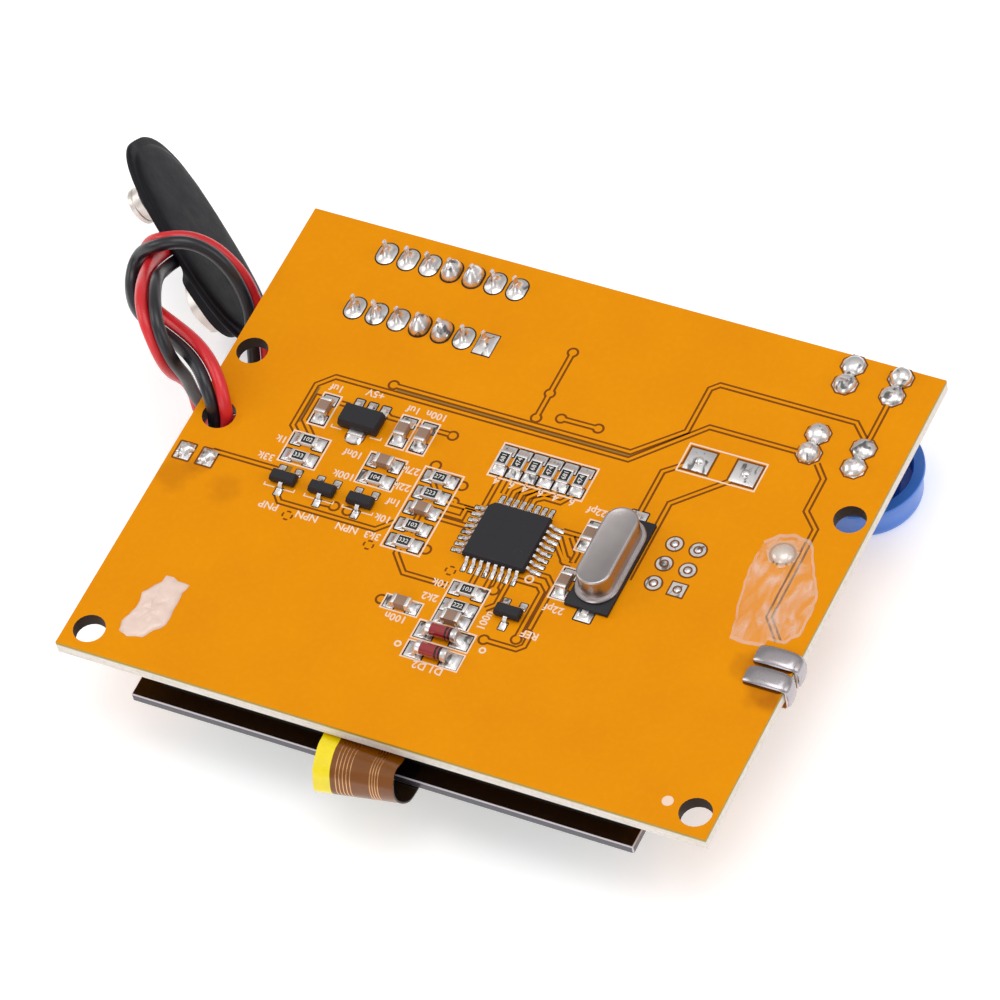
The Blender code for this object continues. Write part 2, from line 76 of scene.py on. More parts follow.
MM = 0.001
board_low, board_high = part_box("circuit_board")
ORIGIN = Vector(((board_low.x + board_high.x) / 2, (board_low.y + board_high.y) / 2, board_high.z))
BOARD_X, BOARD_Y, BOARD_T = ((board_high - board_low) / MM)[:]

# Levels above the soldered face. What lies on it starts a little below it, at one of the two sinks.
SINK = -0.02
INK_SINK = -0.01
GAP_TOP = 0.006
OUTLINE_TOP = 0.01
TRACE_TOP = 0.018
SILK_TOP = 0.026
PAD_TOP = 0.04


def place(x, y, z=0.0):
    """A point in the row frame, in metres."""
    return ORIGIN + MM * Vector((x, y, z))


def local_box(node):
    """A node's lowest and highest corners, in millimetres from the middle of the soldered face."""
    low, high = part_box(node)
    return (low - ORIGIN) / MM, (high - ORIGIN) / MM


# Camera, made first. Camera, first because the cords are judged by what it sees.

CAMERA_PLACE = (249.0545, -342.3593, 531.6521)
CAMERA_RIGHT = (0.89388314, 0.42376938, -0.14626159)
CAMERA_DOWN = (0.2572325, -0.75204523, -0.60684381)
CAMERA_LENS = 241.745


def make_camera():
    right = Vector(CAMERA_RIGHT)
    up = -Vector(CAMERA_DOWN)
    back = right.cross(up)
    data = bpy.data.cameras.new("camera")
    data.lens = CAMERA_LENS
    data.sensor_width = 36.0
    data.clip_start = 0.01
    data.clip_end = 20.0
    camera = bpy.data.objects.new("camera", data)
    turn = Matrix((right, up, back)).transposed().to_4x4()
    camera.matrix_world = Matrix.Translation(place(*CAMERA_PLACE)) @ turn
    bpy.context.scene.collection.objects.link(camera)
    bpy.context.scene.camera = camera


# Materials. Each is a small node tree on one Principled BSDF, with object coordinates in metres.


def srgb(r, g, b):
    """Linear colour of an 8-bit sRGB one."""
    def linear(c):
        c /= 255
        return c / 12.92 if c <= 0.04045 else ((c + 0.055) / 1.055) ** 2.4
    return (linear(r), linear(g), linear(b), 1.0)


class Surface:
    """One material under construction."""

    def __init__(self, name, colour, rough, metal=0.0, **extra):
        self.material = bpy.data.materials.new(name)
        self.material.use_nodes = True
        self.nodes = self.material.node_tree.nodes
        self.links = self.material.node_tree.links
        self.shader = self.nodes["Principled BSDF"]
        self.set("Base Color", colour)
        self.set("Roughness", rough)
        self.set("Metallic", metal)
        for socket, value in extra.items():
            self.set(socket.replace("_", " "), value)
        self.colour = colour
        self.material.diffuse_color = colour
        self.height = None

    def set(self, socket, value):
        self.shader.inputs[socket].default_value = value

    def node(self, kind, **values):
        """A new node. A value goes to the input of its name, or else to the node's own setting."""
        made = self.nodes.new(kind)
        for key, value in values.items():
            socket = key.replace("_", " ")
            if socket in made.inputs:
                made.inputs[socket].default_value = value
            else:
                setattr(made, key, value)
        return made

    def place_in_object(self):
        return self.node("ShaderNodeTexCoord").outputs["Object"]

    def coords(self, scale):
        mapping = self.node("ShaderNodeMapping", Scale=scale)
        self.links.new(self.place_in_object(), mapping.inputs["Vector"])
        return mapping.outputs["Vector"]

    def noise(self, size, detail=3.0, stretch=(1.0, 1.0, 1.0), distortion=0.0):
        """Noise with features about size millimetres across."""
        per = 1000.0 / size
        made = self.node("ShaderNodeTexNoise", Scale=1.0, Detail=detail, Distortion=distortion)
        scale = tuple(per * s for s in stretch)
        self.links.new(self.coords(scale), made.inputs["Vector"])
        return made.outputs["Fac"]

    def mix(self, share, a, b):
        made = self.node("ShaderNodeMix", data_type="RGBA")
        for value, socket in ((share, made.inputs[0]), (a, made.inputs[6]), (b, made.inputs[7])):
            if isinstance(value, bpy.types.NodeSocket):
                self.links.new(value, socket)
            else:
                socket.default_value = value
        return made.outputs[2]

    def vary_colour(self, share, other):
        """Mixes the present base colour with another by a 0 to 1 share."""
        socket = self.shader.inputs["Base Color"]
        now = socket.links[0].from_socket if socket.links else self.colour
        self.links.new(self.mix(share, now, other), socket)

    def mottle(self, other, patches, start, end, most):
        """Mixes in another colour, from none where patches is at start up to a share of most at end."""
        ramp = self.node("ShaderNodeValToRGB")
        for element, position, share in zip(ramp.color_ramp.elements, (start, end), (0.0, most)):
            element.position = position
            element.color = (share, share, share, 1.0)
        self.links.new(patches, ramp.inputs["Fac"])
        self.vary_colour(ramp.outputs["Color"], other)

    def spread(self, value, **limits):
        """A value carried over from From_Min and From_Max to To_Min and To_Max, 0 and 1 where not given."""
        made = self.node("ShaderNodeMapRange", **limits)
        self.links.new(value, made.inputs["Value"])
        return made.outputs["Result"]

    def vary_rough(self, value, low, high):
        self.links.new(self.spread(value, To_Min=low, To_Max=high), self.shader.inputs["Roughness"])

    def bump(self, value, depth, strength):
        """Relief of about depth millimetres, added over any made before."""
        made = self.node("ShaderNodeBump", Distance=MM * depth, Strength=strength)
        self.links.new(value, made.inputs["Height"])
        if self.height is not None:
            self.links.new(self.height, made.inputs["Normal"])
        self.height = made.outputs["Normal"]
        self.links.new(self.height, self.shader.inputs["Normal"])


def near(surface, x, y, radius):
    """A 0 to 1 share, high within radius millimetres of a point on the board and ragged at its edge."""
    wobble = 0.5
    flat = surface.node("ShaderNodeVectorMath", operation="MULTIPLY")
    flat.inputs[1].default_value = (1.0, 1.0, 0.0)
    surface.links.new(surface.place_in_object(), flat.inputs[0])
    distance = surface.node("ShaderNodeVectorMath", operation="DISTANCE")
    distance.inputs[1].default_value = (MM * x, MM * y, 0.0)
    surface.links.new(flat.outputs[0], distance.inputs[0])
    shift = surface.node("ShaderNodeMath", operation="MULTIPLY_ADD")
    shift.inputs[1].default_value = -MM * radius * 2 * wobble
    surface.links.new(surface.noise(radius * 0.8, 4.0), shift.inputs[0])
    surface.links.new(distance.outputs["Value"], shift.inputs[2])
    return surface.spread(
        shift.outputs[0], interpolation_type="SMOOTHSTEP",
        From_Min=MM * radius * (0.95 - wobble), From_Max=MM * radius * (0.25 - wobble),
    )


MASK = srgb(230, 144, 0)
MASK_DEEP = srgb(222, 134, 0)


def mask_material(name, raised):
    """Orange solder mask: faint cloth weave of the laminate, soft mottling and old flux."""
    made = Surface(name, MASK, 0.38)
    made.set("Specular IOR Level", 0.08)
    made.mottle(MASK_DEEP, made.noise(9.0, 4.0), 0.35, 0.7, 0.55)
    made.mottle(srgb(240, 160, 8), made.noise(0.7, 2.0), 0.45, 0.75, 0.16)
    if not raised:
        brown = srgb(150, 78, 8)
        for x, y, radius, depth in FLUX_STAINS:
            share = made.node("ShaderNodeMath", operation="MULTIPLY")
            share.inputs[1].default_value = depth
            made.links.new(near(made, x, y, radius), share.inputs[0])
            made.vary_colour(share.outputs[0], brown)
    made.vary_rough(made.noise(2.2, 5.0), 0.30, 0.46)
    for stretch in ((1.0, 0.12, 1.0), (0.12, 1.0, 1.0)):
        made.bump(made.noise(0.55, 1.0, stretch), 0.004, 0.5)
    made.bump(made.noise(0.12, 2.0), 0.0015, 0.4)
    return made.material


# Ragged brown flux left by hand soldering: x, y, radius, strength.
FLUX_STAINS = (
    (-34.6, -6.6, 3.2, 0.30), (-32.6, -4.9, 2.0, 0.35), (-28.6, -6.8, 2.6, 0.22),
    (33.6, -8.9, 3.4, 0.35), (34.4, -12.2, 2.6, 0.40), (31.2, -9.5, 2.2, 0.28),
    (36.2, -12.5, 2.2, 0.45), (-31.9, 1.5, 1.6, 0.15),
)


def metal(name, colour, rough, grain, depth):
    made = Surface(name, colour, rough, 1.0)
    made.mottle(darker(colour, 0.72), made.noise(grain * 6, 3.0), 0.3, 0.8, 0.5)
    made.vary_rough(made.noise(grain * 2, 3.0), rough * 0.75, rough * 1.35)
    made.bump(made.noise(grain, 3.0), depth, 0.5)
    return made.material


def hand_solder():
    """Bright solder with painted dark reflections streaked across it."""
    colour = (0.86, 0.83, 0.82, 1.0)
    made = Surface("solder", colour, 0.3, 1.0)
    made.mottle(darker(colour, 0.72), made.noise(3.0, 3.0), 0.3, 0.8, 0.5)
    # Painted reflection: near-black streaks standing in for dark surroundings mirrored in the solder.
    made.mottle(darker(colour, 0.10), made.noise(0.9, 2.0, (1.0, 0.6, 1.0), 0.6), 0.57, 0.66, 0.85)
    made.vary_rough(made.noise(1.0, 3.0), 0.22, 0.40)
    made.bump(made.noise(0.5, 3.0), 0.012, 0.5)
    return made.material


def darker(colour, factor):
    return tuple(c * factor for c in colour[:3]) + (1.0,)


def plastic(name, colour, rough, grain=0.25, depth=0.006, **extra):
    made = Surface(name, colour, rough, 0.0, **extra)
    made.mottle(darker(colour, 0.75), made.noise(3.0, 3.0), 0.3, 0.8, 0.4)
    made.vary_rough(made.noise(1.4, 4.0), rough * 0.8, min(1.0, rough * 1.2))
    made.bump(made.noise(grain, 2.0), depth, 0.6)
    return made.material


def leatherette():
    """Black vinyl with a fine pebble grain that runs in soft folds."""
    made = Surface("leatherette", srgb(17, 15, 21), 0.48, 0.0)
    made.set("Specular IOR Level", 0.18)
    cells = made.node("ShaderNodeTexVoronoi", feature="SMOOTH_F1", Scale=1.0)
    made.links.new(made.coords((2600.0, 2600.0, 2600.0)), cells.inputs["Vector"])
    made.bump(cells.outputs["Distance"], 0.03, 0.3)
    made.bump(made.noise(0.5, 3.0, (1.0, 3.0, 1.0)), 0.02, 0.4)
    made.mottle(srgb(27, 25, 31), made.noise(2.5, 3.0), 0.35, 0.75, 0.5)
    made.vary_rough(made.noise(1.2, 3.0), 0.42, 0.62)
    return made.material


def wire_cover(name, colour):
    made = Surface(name, colour, 0.33, 0.0, Coat_Weight=0.15, Coat_Roughness=0.2)
    made.mottle(darker(colour, 0.62), made.noise(2.4, 3.0), 0.35, 0.8, 0.5)
    made.vary_rough(made.noise(1.0, 3.0), 0.26, 0.44)
    made.bump(made.noise(0.35, 3.0), 0.008, 0.4)
    return made.material


def film(name, colour, rough, alpha, **extra):
    """Thin see-through stuff, drawn by alpha so that it exports as it looks."""
    made = Surface(name, colour, rough, 0.0, **extra)
    made.mottle(darker(colour, 0.8), made.noise(1.6, 4.0), 0.35, 0.8, 0.6)
    made.bump(made.noise(0.9, 3.0), 0.03, 0.6)
    made.vary_rough(made.noise(0.8, 3.0), rough * 0.7, rough * 1.3)
    made.set("Alpha", alpha)
    return made.material


def clear_tape():
    """Clear tape: hardly there where it lies flat, milky along its creases and air bubbles."""
    made = Surface("tape", srgb(255, 230, 196), 0.25, 0.0, Coat_Weight=0.6)
    creases = made.noise(1.5, 5.0, (1.0, 0.35, 1.0), 1.2)
    made.mottle(srgb(255, 244, 236), creases, 0.45, 0.7, 0.8)
    cover = made.spread(creases, From_Min=0.42, From_Max=0.72, To_Min=0.10, To_Max=0.42)
    made.links.new(cover, made.shader.inputs["Alpha"])
    made.bump(made.noise(0.6, 3.0), 0.03, 0.6)
    made.vary_rough(made.noise(0.8, 3.0), 0.16, 0.34)
    return made.material


def laminate_edge():
    """The cut edge of the board: pale resin with glass layers running along it."""
    made = Surface("laminate_edge", srgb(222, 212, 200), 0.55)
    layers = made.noise(0.22, 2.0, (0.06, 0.06, 1.0))
    made.mottle(srgb(238, 231, 224), layers, 0.35, 0.65, 0.8)
    made.mottle(srgb(190, 172, 146), made.noise(0.5, 4.0), 0.5, 0.8, 0.5)
    split = made.node("ShaderNodeSeparateXYZ")
    made.links.new(made.place_in_object(), split.inputs[0])
    skin = made.spread(split.outputs["Z"], From_Min=MM * -0.50, From_Max=MM * -0.28)
    made.vary_colour(skin, srgb(168, 138, 20))
    made.vary_rough(made.noise(0.4, 3.0), 0.42, 0.7)
    made.bump(layers, 0.03, 0.5)
    return made.material


def make_materials():
    return {
        "mask": mask_material("mask", False),
        "mask_raised": mask_material("mask_raised", True),
        "edge": laminate_edge(),
        "gap": plastic("bare_laminate", srgb(126, 68, 2), 0.4, Specular_IOR_Level=0.15),
        "pad_gap": plastic("pad_outline", srgb(58, 34, 16), 0.4, Specular_IOR_Level=0.2),
        "silk": plastic("legend_ink", srgb(244, 214, 190), 0.6, 0.1, 0.004),
        "solder": hand_solder(),
        "tin": metal("tin", (0.84, 0.80, 0.79, 1.0), 0.34, 0.3, 0.008),
        "chip": plastic("moulding", srgb(34, 32, 37), 0.52, 0.14, 0.01, Specular_IOR_Level=0.35),
        "steel": metal("steel", (0.66, 0.63, 0.62, 1.0), 0.24, 0.3, 0.006),
        "ceramic_white": plastic("alumina", srgb(225, 222, 220), 0.5, 0.1),
        "resistor_top": plastic("resistor_glaze", srgb(20, 19, 23), 0.28, 0.2, 0.004),
        "mark_ink": plastic("mark_ink", srgb(222, 220, 214), 0.55, 0.1),
        "capacitor": plastic("ceramic_brown", srgb(150, 118, 98), 0.42, 0.15),
        "glass_red": plastic("diode_glass", srgb(150, 26, 30), 0.1, 0.5, 0.002, Coat_Weight=1.0),
        "glass_dark": plastic("display_back", srgb(13, 10, 10), 0.1, 0.6, 0.002, Specular_IOR_Level=0.3),
        "display_edge": plastic("display_edge", srgb(78, 74, 80), 0.25, 0.4, 0.006),
        # Painted highlight: a bright line on the rounded arris of the display glass, where light catches its
        # edge.
        "painted_arris_highlight": plastic("painted_arris_highlight", srgb(206, 202, 210), 0.2, 0.4, 0.004),
        # Painted shade: the mounting holes' walls are painted dark brown for the shade that falls inside
        # them.
        "shaded_hole_wall": plastic("shaded_hole_wall", srgb(50, 30, 17), 0.6, 0.2, 0.02, Specular_IOR_Level=0.2),
        "bar_solder": metal("bar_solder", (0.50, 0.46, 0.48, 1.0), 0.26, 0.6, 0.02),
        "flex": film("flex_film", srgb(122, 66, 2), 0.2, 1.0, Coat_Weight=0.3),
        # Painted shade: dark brown for the shaded inner side of the cable's loop and its cut edges.
        "flex_shade": film("shaded_flex_inner_side", srgb(40, 26, 12), 0.2, 1.0, Coat_Weight=0.6),
        "flex_yellow": film("flex_yellow", srgb(246, 222, 6), 0.25, 1.0, Coat_Weight=0.5),
        "copper": metal("copper", srgb(232, 176, 120), 0.28, 0.3, 0.004),
        "foam": plastic("foam", srgb(42, 42, 44), 0.9, 0.3, 0.08),
        "blue": plastic("button_plastic", srgb(60, 124, 222), 0.32, 0.3, 0.008, Coat_Weight=0.2),
        "socket": plastic("socket_plastic", srgb(24, 92, 148), 0.4, 0.3, 0.01),
        "backlight": plastic("backlight_acrylic", srgb(226, 226, 216), 0.3, 0.8, 0.006),
        "leatherette": leatherette(),
        "nickel": metal("nickel", (0.80, 0.73, 0.68, 1.0), 0.42, 0.4, 0.006),
        "red_wire": wire_cover("red_wire", srgb(216, 30, 38)),
        "black_wire": wire_cover("black_wire", srgb(26, 24, 30)),
        "tape": clear_tape(),
        "glue": film("glue", srgb(250, 226, 212), 0.35, 0.84, Coat_Weight=0.4),
        "tape_rim": film("tape_rim", srgb(255, 232, 212), 0.3, 0.38, Coat_Weight=0.4),
        "window": plastic("display_window", srgb(58, 70, 52), 0.12, 1.0, 0.002),
        "olive": plastic("bare_band", srgb(150, 108, 4), 0.45),
        "chip_shiny": plastic("moulding_polished", srgb(34, 32, 36), 0.25),
        "glass_band": plastic("diode_band", srgb(34, 26, 28), 0.2),
        "can": metal("crystal_can_metal", (0.50, 0.455, 0.45, 1.0), 0.30, 0.5, 0.012),
    }


# Mesh building.


class Shape:
    """Closed pieces gathered into one mesh, in millimetres from the middle of the soldered face."""

    def __init__(self):
        self.points = []
        self.faces = []
        self.paints = []

    def add(self, points, faces, paint=0):
        start = len(self.points)
        self.points += [tuple(p) for p in points]
        self.faces += [tuple(start + i for i in face) for face in faces]
        self.paints += [paint] * len(faces)

    def loft(self, rings, paint=0, closed=False):
        """A skin through rings of equally many points, with flat ends unless it closes on its first ring."""
        count = len(rings[0])
        total = len(rings)
        last = count * (total - 1)
        faces = [] if closed else [tuple(reversed(range(count))), tuple(range(last, last + count))]
        for row in range(total if closed else total - 1):
            low = row * count
            high = (row + 1) % total * count
            for i in range(count):
                j = (i + 1) % count
                faces.append((low + i, low + j, high + j, high + i))
        self.add([p for ring in rings for p in ring], faces, paint)

    def prism(self, outline, z0, z1):
        self.loft([raise_to(outline, z0), raise_to(outline, z1)])

    def block(self, x, y, z, soft, paint=0):
        """A block over x, y and z ranges whose upper edges are rounded off by soft millimetres."""
        base = inset(x, y, 0.0, soft * 0.7)
        inner = inset(x, y, soft * 0.3, soft)
        top = inset(x, y, soft, soft * 0.7)
        rings = [raise_to(base, z[0]), raise_to(base, z[1] - soft)]
        rings += [raise_to(inner, z[1] - soft * 0.3), raise_to(top, z[1])]
        self.loft(rings, paint)

    def washer(self, x, y, inner, outer, z0, z1, steps=32):
        section = ((outer, z0), (outer, z1), (inner, z1), (inner, z0))
        self.loft([raise_to(circle(x, y, radius, steps), z) for radius, z in section], closed=True)

    def stroke(self, path, width, z0, z1):
        """A flat line of one width through points on the board, with mitred corners."""
        path = [Vector(p[:2]) for p in path]
        rings = []
        for i, point in enumerate(path):
            before = (point - path[i - 1]).normalized() if i else None
            after = (path[i + 1] - point).normalized() if i + 1 < len(path) else None
            along = ((before or after) + (after or before)).normalized()
            across = Vector((-along.y, along.x))
            leg = before or after
            lean = max(0.5, across.dot(Vector((-leg.y, leg.x))))
            side = across * (width / 2 / lean)
            a = point + side
            b = point - side
            rings.append([(a.x, a.y, z0), (b.x, b.y, z0), (b.x, b.y, z1), (a.x, a.y, z1)])
        self.loft(rings)

    def spin(self, profile, centre, paint=0, steps=32, axis=(0, 0, 1)):
        """A solid of revolution from (radius, height) pairs that start and end on the axis."""
        axis = Vector(axis).normalized()
        one = axis.orthogonal().normalized()
        two = axis.cross(one)
        centre = Vector(centre)
        points = [centre + axis * profile[0][1]]
        for radius, height in profile[1:-1]:
            for i in range(steps):
                a = math.tau * i / steps
                points.append(centre + axis * height + radius * (math.cos(a) * one + math.sin(a) * two))
        points.append(centre + axis * profile[-1][1])
        faces = []
        last = len(points) - 1
        for i in range(steps):
            j = (i + 1) % steps
            faces += [(0, 1 + j, 1 + i), (last, last - steps + i, last - steps + j)]
            for row in range(len(profile) - 3):
                a = 1 + row * steps
                faces.append((a + i, a + j, a + steps + j, a + steps + i))
        self.add(points, faces, paint)

    def tube(self, path, radius, steps):
        """A round bar along points in space."""
        path = [Vector(p) for p in path]
        rings = []
        side = None
        for i, point in enumerate(path):
            along = heading(path, i)
            side = along.orthogonal() if side is None else side - along * side.dot(along)
            side.normalize()
            other = along.cross(side)
            turns = [math.tau * k / steps for k in range(steps)]
            rings.append([point + radius * (math.cos(a) * side + math.sin(a) * other) for a in turns])
        self.loft(rings)

    def strap(self, path, across, width, thick):
        """A flat strip bent along points in space, with its width along across."""
        path = [Vector(p) for p in path]
        rings = []
        for i, point in enumerate(path):
            normal = heading(path, i).cross(Vector(across)).normalized()
            side = Vector(across) * (width / 2)
            up = normal * (thick / 2)
            rings.append([point + side + up, point - side + up, point - side - up, point + side - up])
        self.loft(rings)

    def piece(self, name, paints, slot, smooth=35.0, rounded=0.0, body="tester"):
        """The finished object. Its own coordinates are metres from the middle of the soldered face."""
        mesh = bpy.data.meshes.new(name)
        mesh.from_pydata([[MM * c for c in p] for p in self.points], [], self.faces)
        mend(mesh)
        return dress(mesh, paints, self.paints, smooth, rounded, body)

    def look(self, node, paints, smooth=35.0, rounded=0.0, name=None):
        """The finished object in place of a CAD piece, with that piece's body."""
        body = frame["nodes"][node]["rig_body"]
        made = self.piece(name or node + "_look", paints, slot_of(node), smooth, rounded, body)
        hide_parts(node)
        return made


def mend(mesh, weld=False):
    """Turns every face outwards and, where asked, joins doubled points and faces that lie in one plane."""
    work = bmesh.new()
    work.from_mesh(mesh)
    if weld:
        bmesh.ops.remove_doubles(work, verts=work.verts, dist=2e-6)
        bmesh.ops.dissolve_limit(work, angle_limit=math.radians(1.0), verts=work.verts, edges=work.edges)
    bmesh.ops.recalc_face_normals(work, faces=work.faces)
    work.to_mesh(mesh)
    work.free()


def dress(mesh, paints, kinds, smooth, rounded, body):
    """An object of a mesh, where kinds gives each face's place in the list of paints."""
    for paint in paints:
        mesh.materials.append(paint)
    for face, kind in zip(mesh.polygons, kinds):
        face.material_index = kind
    made = bpy.data.objects.new(mesh.name, mesh)
    made.location = ORIGIN
    bpy.context.scene.collection.objects.link(made)
    mesh.shade_smooth()
    mesh.set_sharp_from_angle(angle=math.radians(smooth))
    if rounded:
        bevel = made.modifiers.new("rounded", "BEVEL")
        bevel.width = MM * rounded
        bevel.segments = 3
        bevel.limit_method = "ANGLE"
        bevel.angle_limit = math.radians(40)
        bevel.harden_normals = True
    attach(made, body)
    return made


def heading(path, i):
    """The way that a path runs at its point i, from the points on both sides of it."""
    return (path[min(i + 1, len(path) - 1)] - path[max(i - 1, 0)]).normalized()


def slot_of(node):
    return next(part["material_slot"] for part in frame["record"]["subparts"] if part["node"] == node)


def raise_to(outline, z):
    return [(x, y, z) for x, y in outline]


def rectangle(x0, x1, y0, y1, corner, steps=3):
    """An outline with rounded corners."""
    corner = min(corner, (x1 - x0) / 2.01, (y1 - y0) / 2.01)
    outline = []
    middles = (
        (x1 - corner, y0 + corner, -90), (x1 - corner, y1 - corner, 0),
        (x0 + corner, y1 - corner, 90), (x0 + corner, y0 + corner, 180),
    )
    for x, y, start in middles:
        for i in range(steps + 1):
            a = math.radians(start + 90 * i / steps)
            outline.append((x + corner * math.cos(a), y + corner * math.sin(a)))
    return outline


def inset(x, y, by, corner):
    """A rectangle over x and y ranges, drawn in by a distance on every side."""
    return rectangle(x[0] + by, x[1] - by, y[0] + by, y[1] - by, corner)


def around(x, y, half_x, half_y, corner, steps=3):
    """A rectangle round its own middle."""
    return rectangle(x - half_x, x + half_x, y - half_y, y + half_y, corner, steps)


def either_side(middle, half):
    return middle - half, middle + half


def circle(x, y, radius, steps=32):
    turns = [math.tau * i / steps for i in range(steps)]
    return [(x + radius * math.cos(a), y + radius * math.sin(a)) for a in turns]


def octagon(x, y, radius):
    turns = [math.radians(22.5 + 45 * i) for i in range(8)]
    return [(x + radius * math.cos(a), y + radius * math.sin(a)) for a in turns]


def oval(x, y, width, height, steps=12):
    """A pad outline with round ends, longer along Y."""
    radius = width / 2
    reach = height / 2 - radius
    outline = []
    for i in range(steps + 1):
        a = math.pi * i / steps
        outline.append((x + radius * math.cos(a), y + reach + radius * math.sin(a)))
    for i in range(steps + 1):
        a = math.pi + math.pi * i / steps
        outline.append((x + radius * math.cos(a), y - reach + radius * math.sin(a)))
    return outline


def centre_of(points):
    return sum((Vector(p) for p in points[1:]), Vector(points[0])) / len(points)


def grown(outline, by):
    """An outline pushed outwards from its own middle by a distance along each point's direction."""
    middle = centre_of(outline)
    return [tuple(Vector(p) + (Vector(p) - middle).normalized() * by) for p in outline]


def smooth_path(points, count):
    """Evenly spaced points on a natural cubic spline through the given ones."""
    knots = np.array(points, float)
    gap = np.linalg.norm(np.diff(knots[:, :3], axis=0), axis=1)
    total = len(knots)
    system = np.eye(total)
    right = np.zeros_like(knots)
    for i in range(1, total - 1):
        system[i, i - 1:i + 2] = gap[i - 1], 2 * (gap[i - 1] + gap[i]), gap[i]
        slope = (knots[i + 1] - knots[i]) / gap[i] - (knots[i] - knots[i - 1]) / gap[i - 1]
        right[i] = 6 * slope
    bend = np.linalg.solve(system, right)
    rows = []
    for i in range(total - 1):
        share = np.linspace(0.0, 1.0, 24, endpoint=i == total - 2)[:, None]
        back = 1 - share
        curved = (back**3 - back) * bend[i] + (share**3 - share) * bend[i + 1]
        rows.append(back * knots[i] + share * knots[i + 1] + gap[i] ** 2 / 6 * curved)
    curve = np.concatenate(rows)
    run = np.concatenate([[0.0], np.cumsum(np.linalg.norm(np.diff(curve[:, :3], axis=0), axis=1))])
    wanted = np.linspace(0.0, run[-1], count)
    return np.stack([np.interp(wanted, run, curve[:, k]) for k in range(curve.shape[1])], axis=1)


# Battery leads.

LEAD_D = 1.4
LEAD_APART = 1.44
LEAD_POINTS = 200
# The middle of the pair of leads, in metres from the middle of the soldered face, and the way to the red one.
LEAD_ROUTE = (
    ((-0.0335, -0.0046, -0.0039), (1.00, 0.00, 0.00)),
    ((-0.0335, -0.0025, -0.0044), (1.00, 0.00, 0.00)),
    ((-0.0335, -0.0003, -0.0037), (1.00, 0.00, 0.00)),
    ((-0.0335, 0.0011, -0.0022), (1.00, 0.00, 0.00)),
    ((-0.0335, 0.0018, -0.0008), (1.00, 0.10, 0.00)),
    ((-0.0336, 0.0022, 0.0008), (1.00, 0.20, 0.10)),
    ((-0.0353, 0.0042, 0.0028), (0.77, 0.63, 0.04)),
    ((-0.0388, 0.0069, 0.0028), (0.56, 0.79, 0.25)),
    ((-0.0427, 0.0090, 0.0019), (0.51, 0.81, 0.29)),
    ((-0.0458, 0.0104, 0.0016), (0.50, 0.90, 0.20)),
    ((-0.0482, 0.0124, 0.0006), (0.80, 0.50, -0.40)),
    ((-0.0499, 0.0150, 0.0005), (0.50, 0.50, -0.80)),
    ((-0.0501, 0.0169, 0.0019), (-0.02, 0.77, -0.64)),
    ((-0.0476, 0.0173, 0.0046), (-0.40, 0.81, -0.43)),
    ((-0.0452, 0.0182, 0.0049), (-0.30, 0.82, -0.48)),
    ((-0.0424, 0.0190, 0.0034), (-0.14, 0.81, -0.57)),
    ((-0.0405, 0.0190, 0.0012), (-0.02, 0.77, -0.64)),
    ((-0.0394, 0.0189, -0.0017), (0.11, 0.72, -0.68)),
    ((-0.0384, 0.0180, -0.0044), (0.37, 0.66, -0.66)),
    ((-0.0369, 0.0154, -0.0069), (0.90, 0.50, -0.10)),
    ((-0.0363, 0.0132, -0.0094), (0.90, 0.30, -0.30)),
    ((-0.0370, 0.0112, -0.0112), (0.80, -0.20, -0.50)),
    ((-0.0386, 0.0089, -0.0112), (0.40, -0.70, -0.60)),
    ((-0.0397, 0.0078, -0.0097), (-0.23, -0.09, -0.97)),
    ((-0.0403, 0.0073, -0.0066), (-0.40, 0.44, -0.80)),
    ((-0.0403, 0.0059, -0.0016), (-0.43, 0.38, -0.82)),
    ((-0.0408, 0.0047, 0.0039), (-0.71, -0.05, -0.70)),
    ((-0.0423, 0.0061, 0.0061), (-0.86, -0.17, -0.49)),
    ((-0.0442, 0.0089, 0.0064), (-0.97, -0.18, -0.18)),
    ((-0.0462, 0.0128, 0.0046), (-0.98, -0.03, -0.21)),
    ((-0.0482, 0.0177, 0.0006), (-0.51, -0.06, 0.86)),
    ((-0.0487, 0.0202, -0.0013), (-0.70, 0.40, 0.60)),
    ((-0.0489, 0.0226, -0.0031), (-0.70, 0.50, 0.60)),
)


def lead_lines():
    """The red lead's middle line and the black one's, as rows of points in metres."""
    table = smooth_path([(*point, *side) for point, side in LEAD_ROUTE], LEAD_POINTS)
    middle = table[:, :3]
    along = np.gradient(middle, axis=0)
    along /= np.linalg.norm(along, axis=1)[:, None]
    side = table[:, 3:] - (table[:, 3:] * along).sum(axis=1)[:, None] * along
    side /= np.linalg.norm(side, axis=1)[:, None]
    shift = MM * LEAD_APART / 2 * side
    return middle + shift, middle - shift


def make_lead(name, points, paint):
    data = bpy.data.curves.new(name, "CURVE")
    data.dimensions = "3D"
    data.bevel_depth = MM * LEAD_D / 2
    data.bevel_resolution = 6
    data.use_fill_caps = True
    line = data.splines.new("POLY")
    line.points.add(len(points) - 1)
    for point, at in zip(line.points, points):
        point.co = (*at, 1.0)
    line.use_smooth = True
    made = bpy.data.objects.new(name, data)
    made.location = ORIGIN
    bpy.context.scene.collection.objects.link(made)
    data.materials.append(paint)
    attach(made, "tester")
    return made


# What is etched, printed and soldered on the board's face.

TRACK_GAP_WIDTH = 0.76
TRACK_WIDTH = 0.30

